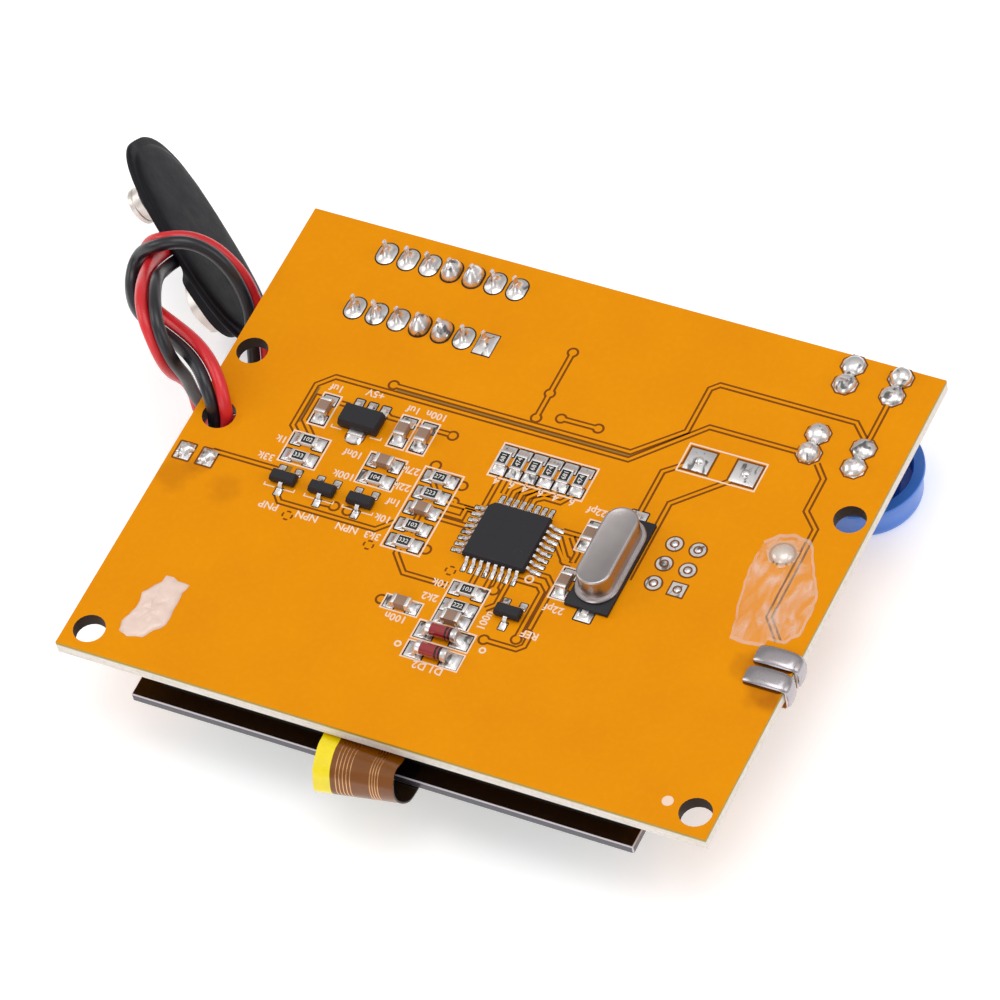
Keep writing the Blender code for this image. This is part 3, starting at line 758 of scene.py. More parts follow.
TRACKS = (
    ((-17.75, 11.1), (9.3, 11.1), (13.7, 15.4), (13.7, 21.2), (14.5, 22.0), (29.7, 22.0), (31.3, 20.4)),
    ((-24.3, 1.9), (-25.5, 3.0), (-25.5, 8.6), (-24.0, 10.15), (9.5, 10.15), (15.7, 16.65), (25.6, 16.65)),
    ((31.8, 25.1), (31.8, 20.3)),
    ((28.0, 15.9), (29.4, 14.3), (29.4, 10.0), (31.2, 8.2), (31.2, -3.3), (33.3, -5.8)),
    ((13.48, 4.2), (13.48, 9.9), (15.2, 11.4)),
    ((15.85, -3.7), (15.85, 6.4), (20.6, 11.1)),
    ((-32.0, -2.7), (-24.5, -2.7)),
    ((-23.6, 7.2), (-24.65, 7.2), (-24.65, 4.0), (-22.9, 2.3)),
    ((-22.0, 7.2), (-21.0, 7.2)),
    ((-17.0, 7.6), (-16.3, 7.15), (-9.5, 7.15)),
    ((-23.2, -5.5), (-22.4, -6.4), (-11.4, -6.4), (-9.9, -4.9)),
    ((-8.0, -7.8), (-8.0, -8.4), (-6.2, -10.4), (-1.2, -10.4)),
    ((-8.4, 1.0), (-7.7, 0.2)),
    ((-7.9, -2.2), (-7.9, -5.6)),
    ((-18.6, -5.2), (-17.2, -5.1)),
    ((-9.0, 2.6), (-8.9, 1.9)),
    ((-5.9, -2.2), (-3.6, -2.2), (-3.6, -0.95), (-2.6, -0.95)),
    ((-5.9, -0.85), (-2.6, -0.85)),
    ((-5.9, -2.95), (-2.6, -2.95)),
    ((-1.8, 21.0), (-1.8, 12.0)),
    ((0.7, 12.75), (4.9, 12.8)),
    ((7.0, -0.3), (9.6, -0.3)),
    ((7.0, -1.1), (8.9, -3.6)),
    ((7.0, -1.9), (8.0, -3.0), (8.8, -3.9), (9.6, -3.9)),
    ((8.2, -0.7), (9.6, -2.4), (9.6, -3.6)),
    ((7.0, -6.1), (8.0, -6.1), (9.0, -7.1), (9.0, -12.6)),
    ((5.2, -7.4), (7.6, -7.4), (8.25, -8.0), (8.25, -13.8)),
    ((9.4, -13.6), (9.4, -14.7), (8.8, -15.3), (5.2, -15.3)),
    ((1.0, -8.2), (1.0, -9.7)),
    ((2.6, -8.2), (2.6, -9.7)),
    ((3.5, -8.2), (3.5, -9.2)),
    ((4.5, -8.2), (4.5, -11.0), (3.7, -11.8)),
    ((-2.0, 4.2), (-2.0, 0.0)),
    ((-0.85, 4.2), (-0.85, 2.0)),
    ((0.9, 4.2), (0.9, 3.4), (0.2, 2.6), (0.2, 1.8)),
    ((2.65, 4.2), (1.9, 3.3), (1.0, 2.6), (1.0, 1.8)),
    ((4.4, 4.2), (3.3, 3.2), (2.4, 3.1), (1.8, 2.4), (1.8, 1.8)),
    ((6.15, 4.2), (5.2, 2.9), (3.4, 2.9), (2.6, 2.3), (2.6, 1.8)),
)
# Bare laminate left between two tracks, as (points, width).
OLIVE_BANDS = (
    (((-17.2, 10.62), (9.4, 10.62), (13.9, 15.1)), 0.44),
    (((-25.05, 8.4), (-25.05, 3.6)), 0.26),
    (((-23.4, -1.9), (-23.4, -2.6)), 0.8),
)
VIAS = (
    (-17.75, 11.12), (-9.0, 7.1), (-9.0, 3.05), (-5.25, 1.55), (-5.25, -0.6), (-5.3, -7.0), (-16.7, -5.1),
    (-15.1, -5.2), (5.2, -15.3), (8.3, -14.2), (9.0, -13.2), (-1.8, 21.0), (-1.8, 15.35), (-1.8, 12.0),
    (0.7, 12.75), (4.9, 12.8), (-6.9, -14.15), (8.8, -3.6), (3.5, -9.4),
)
THERMAL_MARKS = ((-20.8, -7.75), (-11.15, -8.4), (-1.75, -8.6))
SILK_WIDTH = 0.17
# Legend boxes as x0, x1, y0, y1.
SILK_BOXES = (
    (-25.0, -20.75, -1.6, 2.45), (-16.15, -11.95, -1.55, 2.55), (-9.95, -5.55, -8.05, 2.65),
    (-3.45, 7.2, 3.7, 8.05), (-0.95, 3.2, -15.0, -9.5), (-2.0, 4.3, -17.4, -15.1),
    (-2.0, 4.3, -19.85, -17.75), (-24.2, -22.2, 3.7, 7.95), (-15.1, -13.1, 3.7, 7.95),
    (-12.72, -10.8, 3.7, 7.95), (-6.6, -2.5, -15.05, -13.3), (14.7, 23.35, 10.55, 14.15),
    (9.05, 11.2, -2.1, 1.95), (9.05, 11.2, -8.35, -4.3),
)
# Corners under some legend words, as x0, x1, y.
SILK_CORNERS = ((-21.6, -15.9, 4.1), (-24.9, -21.5, -4.9), (-20.3, -17.0, -4.9), (-15.9, -12.5, -4.9))
SILK_RINGS = ((5.65, -16.55, 0.3), (-2.85, -18.6, 0.3), (6.35, -6.95, 0.42))
LABELS = (
    ("1uf", -23.2, 8.8), ("+5V", -19.0, 9.4), ("1uf", -14.3, 8.8), ("100n", -11.7, 8.85),
    ("1k", -25.75, 0.95), ("33k", -26.3, -1.6), ("10nf", -17.8, 1.6), ("100k", -17.5, -1.2),
    ("27k", -11.1, 1.6), ("22k", -11.1, -0.6), ("1nf", -11.05, -2.7), ("10k", -11.2, -4.9),
    ("3k3", -11.3, -7.25), ("PNP", -23.2, -7.25), ("NPN", -18.8, -7.25), ("NPN", -14.2, -7.25),
    ("4", -2.2, 3.25), ("6", -0.5, 3.25), ("4", 1.05, 3.25), ("6", 2.75, 3.25), ("4", 4.5, 3.25),
    ("6", 6.3, 3.25), ("22pf", 9.3, 3.0), ("22pf", 10.3, -9.6), ("10k", -2.0, -10.4),
    ("2k2", -2.3, -12.3), ("REF", 9.35, -13.3), ("100n", -4.5, -15.8), ("D1 D2", 1.3, -20.4),
)
LABEL_HEIGHT = 0.86
RESISTOR_CODES = ("102", "333", "104", "273", "223", "103", "332", "103", "222") + ("681", "474") * 3
PIN_ROWS = (26.74, 19.07)
PIN_X0 = -26.14
PIN_PITCH = 2.54
SQUARE_PIN = (6, 1)
HEAPED_PINS = (3, 4)
# Each two pads that follow one another are joined by solder.
SWITCH_PADS = (
    (26.5, 28.7), (26.6, 26.2), (31.75, 28.7), (31.8, 26.3),
    (26.6, 19.4), (26.7, 16.8), (31.75, 19.15), (31.75, 16.6),
)
HEADER_PADS = ((18.48, 1.9), (21.05, 1.95), (18.48, -0.7), (21.1, -0.7), (18.48, -3.28), (21.1, -3.25))
TEST_PADS = ((16.5, 12.35), (21.65, 12.35))
LEAD_PADS = ((-34.75, -3.7), (-32.1, -3.7))
EDGE_BARS = ((-9.0, -6.75), (-11.6, -9.35))
# The middle of an edge bar's section, as (x, z) from the board's face round its edge.
EDGE_BAR_PATH = (
    (32.0, 0.12), (32.4, 0.3), (33.2, 0.42), (34.4, 0.45), (35.6, 0.42), (36.25, 0.3), (36.62, 0.0),
    (36.74, -0.5), (36.72, -1.2), (36.66, -1.8), (36.5, -2.3),
)
# Solder round a socket pin, as (share of the pad, height): a hollow cone, and a full heap.
PIN_CONE = ((1.0, 0.0), (1.0, 0.05), (0.86, 0.1), (0.62, 0.26), (0.42, 0.5), (0.28, 0.8), (0.2, 1.05))
PIN_HEAP = ((1.0, 0.0), (1.0, 0.08), (0.97, 0.35), (0.86, 0.7), (0.66, 1.05), (0.42, 1.35), (0.24, 1.6))


class Artwork:
    """Meshes shared by everything flat on the board, and by all its solder."""

    def __init__(self):
        self.gaps = Shape()
        self.olive = Shape()
        self.tracks = Shape()
        self.legend = Shape()
        self.solder = Shape()
        self.legs = Shape()
        self.outlines = Shape()
        self.bars = Shape()

    def track(self, path):
        self.gaps.stroke(path, TRACK_GAP_WIDTH, SINK, GAP_TOP)
        self.tracks.stroke(path, TRACK_WIDTH, SINK, TRACE_TOP)

    def via(self, x, y):
        dimple = ((0, SINK), (0.42, SINK), (0.4, TRACE_TOP), (0.2, TRACE_TOP - 0.004), (0, 0.0))
        self.gaps.washer(x, y, 0.42, 0.66, SINK, GAP_TOP + 0.002, steps=28)
        self.tracks.spin(dimple, (x, y, 0), steps=24)

    def pad(self, x, y, corner, rim=0.15):
        """A tinned pad over x and y ranges, with the dark gap that surrounds it."""
        self.outlines.prism(inset(x, y, -rim, corner + rim), SINK, OUTLINE_TOP)
        self.solder.block(x, y, (SINK, PAD_TOP), 0.03)

    def fillet(self, start, way, width, reach, height):
        """Solder that climbs the end of a part and runs out over its pad in a hollow curve."""
        start = Vector(start)
        way = Vector(way)
        across = Vector((-way.y, way.x))
        rings = []
        for i in range(8):
            share = i / 7
            top = PAD_TOP + height * (1 - share) ** 2.1 + 0.02
            half = width / 2 * (0.84 + 0.16 * math.sin(math.pi * (0.25 + 0.6 * share)))
            foot = start + way * (reach * share)
            ring = []
            for k in range(11):
                a = math.pi * k / 10
                side = foot + across * (half * math.cos(a))
                ring.append((side.x, side.y, PAD_TOP / 2 + (top - PAD_TOP / 2) * math.sin(a) ** 0.6))
            rings.append(ring)
        self.solder.loft(rings)

    def dome(self, x, y, radius, height, seed, lean=(0.0, 0.0), rough=0.05):
        """A heap of solder whose outline swells and sinks a little, as hand soldering leaves it."""
        rings = []
        levels = 9
        sides = 28
        for level in range(levels):
            a = math.pi / 2 * level / (levels - 1)
            r = radius * math.cos(a) ** 0.8 if level < levels - 1 else 0.02
            z = PAD_TOP + height * math.sin(a) ** 1.25
            ring = []
            for k in range(sides):
                t = math.tau * k / sides
                spot = Vector((math.cos(t) * 1.7 + seed, math.sin(t) * 1.7, z + seed))
                wave = 1 + rough * noise.noise(spot)
                px = x + r * wave * math.cos(t) + lean[0] * z
                py = y + r * wave * math.sin(t) + lean[1] * z
                ring.append((px, py, z))
            rings.append(ring)
        rings.insert(0, [(px, py, SINK) for px, py, z in rings[0]])
        self.solder.loft(rings)

    def gull_leg(self, start, way, width, shoulder, reach, pad):
        """A bent leg from a body's side to its pad, which is (start, end, width) out from that side."""
        way = Vector(way)
        across = Vector((-way.y, way.x, 0))
        start = Vector(start)
        foot = PAD_TOP + 0.09
        bend = (
            (-0.15, shoulder), (0.12, shoulder), (0.24, shoulder - 0.08), (0.34, foot + 0.14),
            (0.44, foot + 0.02), (0.56, foot), (reach - 0.04, foot), (reach, foot - 0.01),
        )
        self.legs.strap([(*(start + way * out), z) for out, z in bend], across, width, 0.13)
        ends = (start + way * pad[0], start + way * pad[1])
        if abs(way.x) > 0.5:
            self.pad(sorted(end.x for end in ends), either_side(start.y, pad[2] / 2), 0.05, 0.1)
        else:
            self.pad(either_side(start.x, pad[2] / 2), sorted(end.y for end in ends), 0.05, 0.1)
        self.fillet(start + way * (reach - 0.22), way, pad[2] * 0.96, pad[1] - reach + 0.2, 0.2)
        self.fillet(start + way * 0.5, -way, pad[2] * 0.9, 0.22, 0.3)


def lettering(shape, words, x, y, height, turn, z0=INK_SINK, z1=SILK_TOP, paint=0, bold=0.025):
    """Printed words from z0 up to z1, centred on a point of the board."""
    curve = bpy.data.curves.new("words", "FONT")
    curve.body = words
    curve.size = height / 0.70
    curve.extrude = (z1 - z0) / 2
    curve.offset = bold
    curve.resolution_u = 2
    curve.align_x = "CENTER"
    holder = bpy.data.objects.new("words", curve)
    bpy.context.scene.collection.objects.link(holder)
    bpy.context.view_layer.update()
    mesh = bpy.data.meshes.new_from_object(holder.evaluated_get(bpy.context.evaluated_depsgraph_get()))
    turned = Matrix.Rotation(math.radians(turn), 4, "Z")
    drop = Vector((0.0, -height / 2, 0.0))
    points = [turned @ (v.co + drop) + Vector((x, y, (z0 + z1) / 2)) for v in mesh.vertices]
    shape.add(points, [tuple(p.vertices) for p in mesh.polygons], paint)
    bpy.data.objects.remove(holder)
    bpy.data.meshes.remove(mesh)
    bpy.data.curves.remove(curve)


def printed_box(legend, x0, x1, y0, y1):
    """A printed rectangle, drawn as four strokes that meet at the corners."""
    half = SILK_WIDTH / 2
    for y in (y0, y1):
        legend.stroke(((x0 - half, y), (x1 + half, y)), SILK_WIDTH, INK_SINK, SILK_TOP)
    for x in (x0, x1):
        legend.stroke(((x, y0 + half), (x, y1 - half)), SILK_WIDTH, INK_SINK, SILK_TOP)


def tracks_and_legend(art):
    for path in TRACKS:
        art.track(path)
    for path, width in OLIVE_BANDS:
        art.olive.stroke(path, width, SINK, 0.004)
    for x, y in VIAS:
        art.via(x, y)
    for x, y in THERMAL_MARKS:
        for middle in (0, 90, 180, 270):
            turns = [math.radians(middle + d) for d in (-28, -14, 0, 14, 28)]
            arc = [(x + 0.52 * math.cos(a), y + 0.52 * math.sin(a)) for a in turns]
            art.gaps.stroke(arc, 0.2, SINK, GAP_TOP)
    for box in SILK_BOXES:
        printed_box(art.legend, *box)
    for x, y, radius in SILK_RINGS:
        art.legend.washer(x, y, radius - 0.1, radius + 0.1, INK_SINK, SILK_TOP, steps=24)
    art.legend.prism(circle(30.85, -27.0, 0.6), INK_SINK, SILK_TOP)
    for words, x, y in LABELS:
        lettering(art.legend, words, x, y, LABEL_HEIGHT, 180.0)
    lettering(art.legend, "100n", 4.25, -13.1, LABEL_HEIGHT, 90.0)
    for x0, x1, y in SILK_CORNERS:
        for x, inwards in ((x0, 1.2), (x1, -1.2)):
            corner = ((x, y + 0.35), (x, y), (x + inwards, y))
            art.legend.stroke(corner, 0.14, INK_SINK, SILK_TOP)


def socket_pins(art):
    """Two rows of flat pins in cones of solder."""
    for row, y in enumerate(PIN_ROWS):
        for i in range(7):
            x = PIN_X0 + PIN_PITCH * i
            outline = oval(x, y, 2.0, 2.8)
            if (i, row) == SQUARE_PIN:
                outline = around(x, y, 1.0, 1.4, 0.05)
            art.outlines.prism(grown(outline, 0.16), SINK, OUTLINE_TOP)
            rings = []
            for share, z in PIN_HEAP if i in HEAPED_PINS else PIN_CONE:
                rings.append([(x + (px - x) * share, y + (py - y) * share, z) for px, py in outline])
            art.solder.loft(rings)
            lean = 0.06 * math.sin(2.1 * i + 3 * row)
            path = ((x, y, 0.2), (x + lean, y, 1.3), (x + 1.6 * lean, y, 2.1), (x + 1.7 * lean, y, 2.25))
            art.legs.strap(path[:3], (0.35, 0.94, 0), 0.5, 0.26)
            art.legs.strap(path[2:], (0.35, 0.94, 0), 0.34, 0.14)


def switch_pads(art):
    for i, (x, y) in enumerate(SWITCH_PADS):
        art.gaps.prism(octagon(x, y, 1.5), SINK, OUTLINE_TOP)
        art.solder.prism(octagon(x, y, 1.32), SINK, PAD_TOP)
        tall = 0.55 + 0.25 * (i % 3)
        art.dome(x, y, 1.22, tall, 3.1 * i, (0.1 * math.sin(i), 0.12), rough=0.12)
        if i % 2:
            art.legs.strap(((x - 0.1, y, 0.2), (x, y + 0.05, tall + 0.35)), (1, 0, 0), 0.75, 0.3)
    for (xa, ya), (xb, yb) in zip(SWITCH_PADS[::2], SWITCH_PADS[1::2]):
        art.solder.block(either_side((xa + xb) / 2, 0.35), (yb + 0.7, ya - 0.7), (SINK, 0.22), 0.1)


def header_and_test_pads(art):
    for i, (x, y) in enumerate(HEADER_PADS):
        if i == len(HEADER_PADS) - 1:
            art.gaps.prism(around(x, y, 0.95, 0.95, 0.1), SINK, OUTLINE_TOP)
            art.solder.prism(around(x, y, 0.78, 0.78, 0.05), SINK, PAD_TOP)
        else:
            art.gaps.prism(circle(x, y, 1.0), SINK, OUTLINE_TOP)
            art.solder.prism(circle(x, y, 0.82), SINK, PAD_TOP)
        art.gaps.washer(x, y, 0.34, 0.5, 0.0, PAD_TOP + 0.01, steps=24)
        art.dome(x, y, 0.36, 0.12, i)
    for x, y in TEST_PADS:
        art.gaps.prism(around(x, y, 1.6, 1.6, 0.02), SINK, OUTLINE_TOP)
        art.solder.block(either_side(x, 1.38), either_side(y, 1.38), (SINK, PAD_TOP + 0.02), 0.04)
        art.dome(x, y, 0.5, 0.3, x)


def edge_bars(art):
    """Solder-coated straps that fold round the board's edge over the backlight's tabs."""
    for i, (y0, y1) in enumerate(EDGE_BARS):
        art.gaps.prism(rectangle(31.9, BOARD_X / 2 - 0.05, y0 - 0.1, y1 + 0.1, 0.4), SINK, GAP_TOP)
        path = [Vector(p) for p in EDGE_BAR_PATH]
        rings = []
        for k, (x, z) in enumerate(EDGE_BAR_PATH):
            share = k / (len(path) - 1)
            along = heading(path, k)
            swell = (y1 - y0) / 2 * (0.80 + 0.22 * math.sin(math.pi * min(1.0, share * 1.35 + 0.12)))
            ring = []
            for t in range(16):
                a = math.tau * t / 16
                wave = noise.noise(Vector((x * 1.3, math.cos(a) * 2 + 9 * i, z * 2)))
                lift = 0.26 * math.sin(a) + 0.06 * wave
                y = (y0 + y1) / 2 + swell * math.copysign(abs(math.cos(a)) ** 0.7, math.cos(a))
                ring.append((x - along.y * lift, y, z + along.x * lift))
            rings.append(ring)
        art.bars.loft(rings)


def lead_joints(art):
    """Rough joints where the battery leads' cores come up through the board, and the solder under it."""
    drop = ((0, -0.5), (0.5, -0.35), (0.85, -0.02), (0.85, 0.1), (0.4, 0.2), (0, 0.2))
    for i, (x, y) in enumerate(LEAD_PADS):
        art.gaps.prism(around(x, y, 1.05, 1.25, 0.2), SINK, GAP_TOP)
        art.solder.block(either_side(x, 0.85), either_side(y, 1.05), (SINK, PAD_TOP + 0.02), 0.05)
        art.dome(x + 0.1, y + 0.1, 0.8, 0.55, 5.0 + 4 * i, (0.2, 0.25), rough=0.5)
        art.dome(x - 0.25, y - 0.45, 0.5, 0.42, 15.0 + 4 * i, rough=0.6)
        art.solder.spin([(r, z - BOARD_T) for r, z in drop], (x, y, 0), steps=20)


def make_artwork():
    art = Artwork()
    tracks_and_legend(art)
    socket_pins(art)
    switch_pads(art)
    header_and_test_pads(art)
    edge_bars(art)
    lead_joints(art)
    return art


def finish_artwork(art, paints):
    art.gaps.piece("bare_gaps", [paints["gap"]], "board")
    art.olive.piece("bare_bands", [paints["olive"]], "board")
    art.tracks.piece("covered_tracks", [paints["mask_raised"]], "board")
    art.legend.piece("legend", [paints["silk"]], "board")
    art.solder.piece("solder", [paints["solder"]], "steel", smooth=50.0)
    art.legs.piece("legs", [paints["tin"]], "steel", rounded=0.03)
    art.outlines.piece("pad_outlines", [paints["pad_gap"]], "board")
    art.bars.piece("edge_bars", [paints["bar_solder"]], "steel", smooth=50.0)


# Board and the CAD pieces that only need softer edges.


def refined(node, paints, rounded, paint_of=lambda face: 0):
    """A CAD piece redrawn with softened edges; paint_of gives a face's place in the list of paints."""
    source = frame["nodes"][node]
    mesh = source.data.copy()
    mesh.name = node + "_look"
    mesh.transform(Matrix.Translation(-ORIGIN))
    mend(mesh, weld=True)
    mesh.materials.clear()
    kinds = [paint_of(face) for face in mesh.polygons]
    made = dress(mesh, paints, kinds, 30.0, rounded, source["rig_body"])
    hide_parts(node)
    return made


def make_board(paints):
    def side(face):
        if abs(face.normal.z) > 0.7:
            return 0
        x = abs(face.center.x) / MM
        y = abs(face.center.y) / MM
        outside = x > BOARD_X / 2 - 0.1 or y > BOARD_Y / 2 - 0.1
        # Walls inside the mounting holes take the painted shade.
        return 1 if outside else 2
    refined("circuit_board", [paints["mask"], paints["edge"], paints["shaded_hole_wall"]], 0.06, side)


# Parts on the board.


def spans(x, y, a, b, along):
    """X and Y ranges of a box given by its reach along a part (a) and across it (b)."""
    if along:
        return (x + b[0], x + b[1]), (y + a[0], y + a[1])
    return (x + a[0], x + a[1]), (y + b[0], y + b[1])


def middle_of(node):
    low, high = local_box(node)
    return (low.x + high.x) / 2, (low.y + high.y) / 2


def lies_along_y(node):
    low, high = local_box(node)
    return high.y - low.y > high.x - low.x


def chip_pads(art, x, y, along, height):
    for sign, a in ((-1, (-1.86, -0.7)), (1, (0.7, 1.86))):
        art.pad(*spans(x, y, a, (-0.76, 0.76), along), 0.08)
        way = Vector((0, sign) if along else (sign, 0))
        art.fillet(Vector((x, y)) + way * 0.97, way, 1.3, 0.8, height * 0.8)


def make_resistors(art, paints):
    looks = [paints["ceramic_white"], paints["tin"], paints["resistor_top"], paints["mark_ink"]]
    for i, code in enumerate(RESISTOR_CODES):
        node = f"resistor_{i + 1}"
        x, y = middle_of(node)
        along = lies_along_y(node)
        chip_pads(art, x, y, along, 0.5)
        shape = Shape()
        shape.block(*spans(x, y, (-0.96, 0.96), (-0.61, 0.61), along), (0.05, 0.49), 0.03)
        for a in ((-1.0, -0.62), (0.62, 1.0)):
            shape.block(*spans(x, y, a, (-0.625, 0.625), along), (0.04, 0.52), 0.06, 1)
        shape.block(*spans(x, y, (-0.64, 0.64), (-0.5, 0.5), along), (0.47, 0.535), 0.03, 2)
        lettering(shape, code, x, y, 0.5, 90.0 if along else 0.0, 0.5, 0.541, 3, 0.01)
        shape.look(node, looks)


def make_capacitors(art, paints):
    for i in range(9):
        node = f"capacitor_{i + 1}"
        x, y = middle_of(node)
        along = lies_along_y(node)
        chip_pads(art, x, y, along, 0.9)
        shape = Shape()
        shape.block(*spans(x, y, (-0.8, 0.8), (-0.6, 0.6), along), (0.05, 0.95), 0.07)
        for a in ((-1.0, -0.55), (0.55, 1.0)):
            shape.block(*spans(x, y, a, (-0.63, 0.63), along), (0.04, 0.985), 0.12, 1)
        shape.look(node, [paints["capacitor"], paints["tin"]])


def moulded_body(node, paint, bottom, draft, corner):
    """A moulded package: sides that lean in above and below the line where its mould parts."""
    low, high = local_box(node)
    parting = bottom + (high.z - bottom) * 0.45
    levels = (
        (draft, bottom), (0.0, parting - 0.02), (0.0, parting + 0.02),
        (draft, high.z - 0.05), (draft + 0.05, high.z),
    )
    shape = Shape()
    shape.loft([raise_to(inset((low.x, high.x), (low.y, high.y), by, corner), z) for by, z in levels])
    shape.look(node, [paint])


def make_microcontroller(art, paints):
    x, y = middle_of("microcontroller")
    for i in range(8):
        s = 0.8 * (i - 3.5)
        legs = (
            ((x - 3.5, y + s), (-1, 0)), ((x + 3.5, y + s), (1, 0)),
            ((x + s, y - 3.5), (0, -1)), ((x + s, y + 3.5), (0, 1)),
        )
        for start, way in legs:
            art.gull_leg(start, way, 0.36, 0.52, 1.06, (0.5, 1.52, 0.44))
    shape = Shape()
    rings = []
    for half, z in ((3.36, 0.1), (3.5, 0.5), (3.5, 0.56), (3.38, 1.0), (3.33, 1.06)):
        cut = half - 0.55
        corners = ((-cut, half), (-half, cut), (-half, -half), (half, -half), (half, half))
        rings.append([(x + px, y + py, z) for px, py in corners])
    shape.loft(rings)
    shape.look("microcontroller", [paints["chip"]], rounded=0.05)
    dish = ((0, 1.03), (0.46, 1.03), (0.46, 1.062), (0.40, 1.066), (0.36, 1.04), (0, 1.036))
    dot = Shape()
    dot.spin(dish, (x + 2.1, y - 1.75, 0))
    dot.piece("pin_one_mark", [paints["chip_shiny"]], "black_plastic")


def make_transistors(art, paints):
    for i in range(4):
        node = f"transistor_{i + 1}"
        low, high = local_box(node)
        x = middle_of(node)[0]
        for dx in (-0.95, 0.95):
            art.gull_leg((x + dx, high.y), (0, 1), 0.45, 0.55, 0.66, (0.25, 1.15, 0.75))
        art.gull_leg((x, low.y), (0, -1), 0.45, 0.55, 0.75, (0.3, 1.3, 0.75))
        moulded_body(node, paints["chip"], 0.08, 0.12, 0.08)


def make_regulator(art, paints):
    node = "voltage_regulator"
    low, high = local_box(node)
    x = middle_of(node)[0]
    for leg_x in (x - 1.5, x, x + 1.5):
        art.pad(either_side(leg_x, 0.45), (high.y - 0.1, high.y + 1.6), 0.08)
        path = ((leg_x, high.y - 0.1, 0.2), (leg_x, high.y + 0.9, 0.2), (leg_x, high.y + 1.05, 0.19))
        art.legs.strap(path, (1, 0, 0), 0.48, 0.3)
        art.fillet((leg_x, high.y + 1.0), (0, 1), 0.8, 0.5, 0.3)
    turns = [math.pi + math.pi * k / 12 for k in range(13)]
    tab = [(x + 0.95 * math.cos(a), low.y - 0.55 + 0.85 * math.sin(a)) for a in turns]
    tab += [(x + 0.95, low.y + 0.2), (x - 0.95, low.y + 0.2)]
    art.gaps.prism(grown(tab, 0.18), SINK, OUTLINE_TOP)
    art.solder.prism(tab, SINK, PAD_TOP)
    art.legs.block(either_side(x, 0.85), (low.y - 0.6, low.y + 0.1), (0.05, 0.45), 0.08)
    art.fillet((x, low.y - 0.55), (0, -1), 1.75, 0.8, 0.34)
    moulded_body(node, paints["chip"], 0.06, 0.14, 0.1)


def make_diodes(art, paints):
    glass = ((0, -1.3), (0.62, -1.3), (0.7, -1.22), (0.7, 1.22), (0.62, 1.3), (0, 1.3))
    cap = ((0, 1.15), (0.69, 1.15), (0.725, 1.2), (0.725, 1.66), (0.66, 1.75), (0, 1.75))
    band = ((0, 0.0), (0.705, 0.0), (0.712, 0.06), (0.712, 0.16), (0.705, 0.22), (0, 0.22))
    for i in range(2):
        node = f"diode_{i + 1}"
        low, high = local_box(node)
        x, y = middle_of(node)
        middle = (x, y, (low.z + high.z) / 2)
        shape = Shape()
        shape.spin(glass, middle, 0, 28, (1, 0, 0))
        for pad in ((x - 2.95, x - 1.0), (x + 1.0, x + 2.95)):
            art.pad(pad, either_side(y, 0.92), 0.1)
        for sign in (-1, 1):
            art.fillet((x + sign * 1.66, y), (sign, 0), 1.5, 1.1, 0.85)
            shape.spin([(r, a * sign) for r, a in cap], middle, 1, 28, (1, 0, 0))
        for start in (0.5, 0.9):
            shape.spin([(r, start + a) for r, a in band], middle, 2, 28, (1, 0, 0))
        shape.look(node, [paints["glass_red"], paints["tin"], paints["glass_band"]])


# The crystal can's side, as (how far it swells, height).
CAN_SIDE = (
    (-0.02, 0.0), (0.0, 0.25), (-0.10, 0.38), (-0.42, 0.42), (-0.47, 0.5), (-0.475, 0.6), (-0.475, 2.45),
    (-0.485, 2.58), (-0.52, 2.68), (-0.58, 2.745), (-0.66, 2.775), (-0.76, 2.78), (-0.8, 2.765),
)


def make_crystal(art, paints):
    low, high = local_box("crystal_can")
    x, y = middle_of("crystal_can")
    wide = high.x - low.x
    tall = high.y - low.y
    shape = Shape()
    shape.loft([raise_to(oval(x, y, wide + 2 * s, tall + 2 * s, 20), low.z + z) for s, z in CAN_SIDE])
    shape.look("crystal_can", [paints["can"]], smooth=40.0)
    low, high = local_box("crystal_base")
    shape = Shape()
    shape.block((low.x, high.x), (low.y, high.y), (low.z, high.z), 0.06)
    shape.look("crystal_base", [paints["chip"]])
    for end, sign in ((low.y, -1), (high.y, 1)):
        art.pad((x - 0.85, x + 0.95), sorted((end - sign * 0.2, end + sign * 1.25)), 0.06)
        leg = sorted((end - sign * 0.1, end + sign * 0.65))
        art.legs.block((x - 0.35, x + 0.4), leg, (0.05, 0.3), 0.05)
        art.fillet((x, end + sign * 0.55), (0, sign), 1.3, 0.55, 0.3)


# Stuck-on tape, dried glue and the solder blob under the tape.

TAPE_OUTLINE = (
    (26.9, 5.2), (28.0, 6.5), (29.5, 7.0), (31.0, 6.8), (32.0, 6.0), (33.5, 3.0), (34.7, 1.0),
    (35.1, -1.0), (35.1, -4.5), (34.0, -5.9), (33.2, -6.0), (32.3, -5.9), (32.3, -6.9),
    (30.0, -7.2), (28.5, -7.0), (28.1, -4.8), (27.3, -1.5), (27.0, 0.0), (26.8, 2.5),
)
GLUE_OUTLINE = (
    (-29.1, -18.7), (-26.3, -19.1), (-26.5, -21.5), (-26.5, -23.7), (-26.8, -25.0), (-28.0, -26.4),
    (-29.6, -26.9), (-30.8, -26.4), (-30.9, -25.0), (-30.3, -23.4), (-30.6, -21.5), (-29.9, -20.2),
)
BLOB = (29.35, 4.3)
# The patches begin this far below the board's face, so that only their upper skin is seen.
PATCH_FOOT = -0.03


def ragged(outline, per_side, jitter, seed):
    """An outline with extra points between its own, each moved a little."""
    points = []
    for i, a in enumerate(outline):
        b = outline[(i + 1) % len(outline)]
        for k in range(per_side):
            p = Vector(a).lerp(Vector(b), k / per_side)
            push_x = noise.noise(Vector((p.x, p.y, seed)))
            push_y = noise.noise(Vector((p.y, p.x, seed + 7)))
            points.append(tuple(p + Vector((push_x, push_y)) * jitter))
    return points


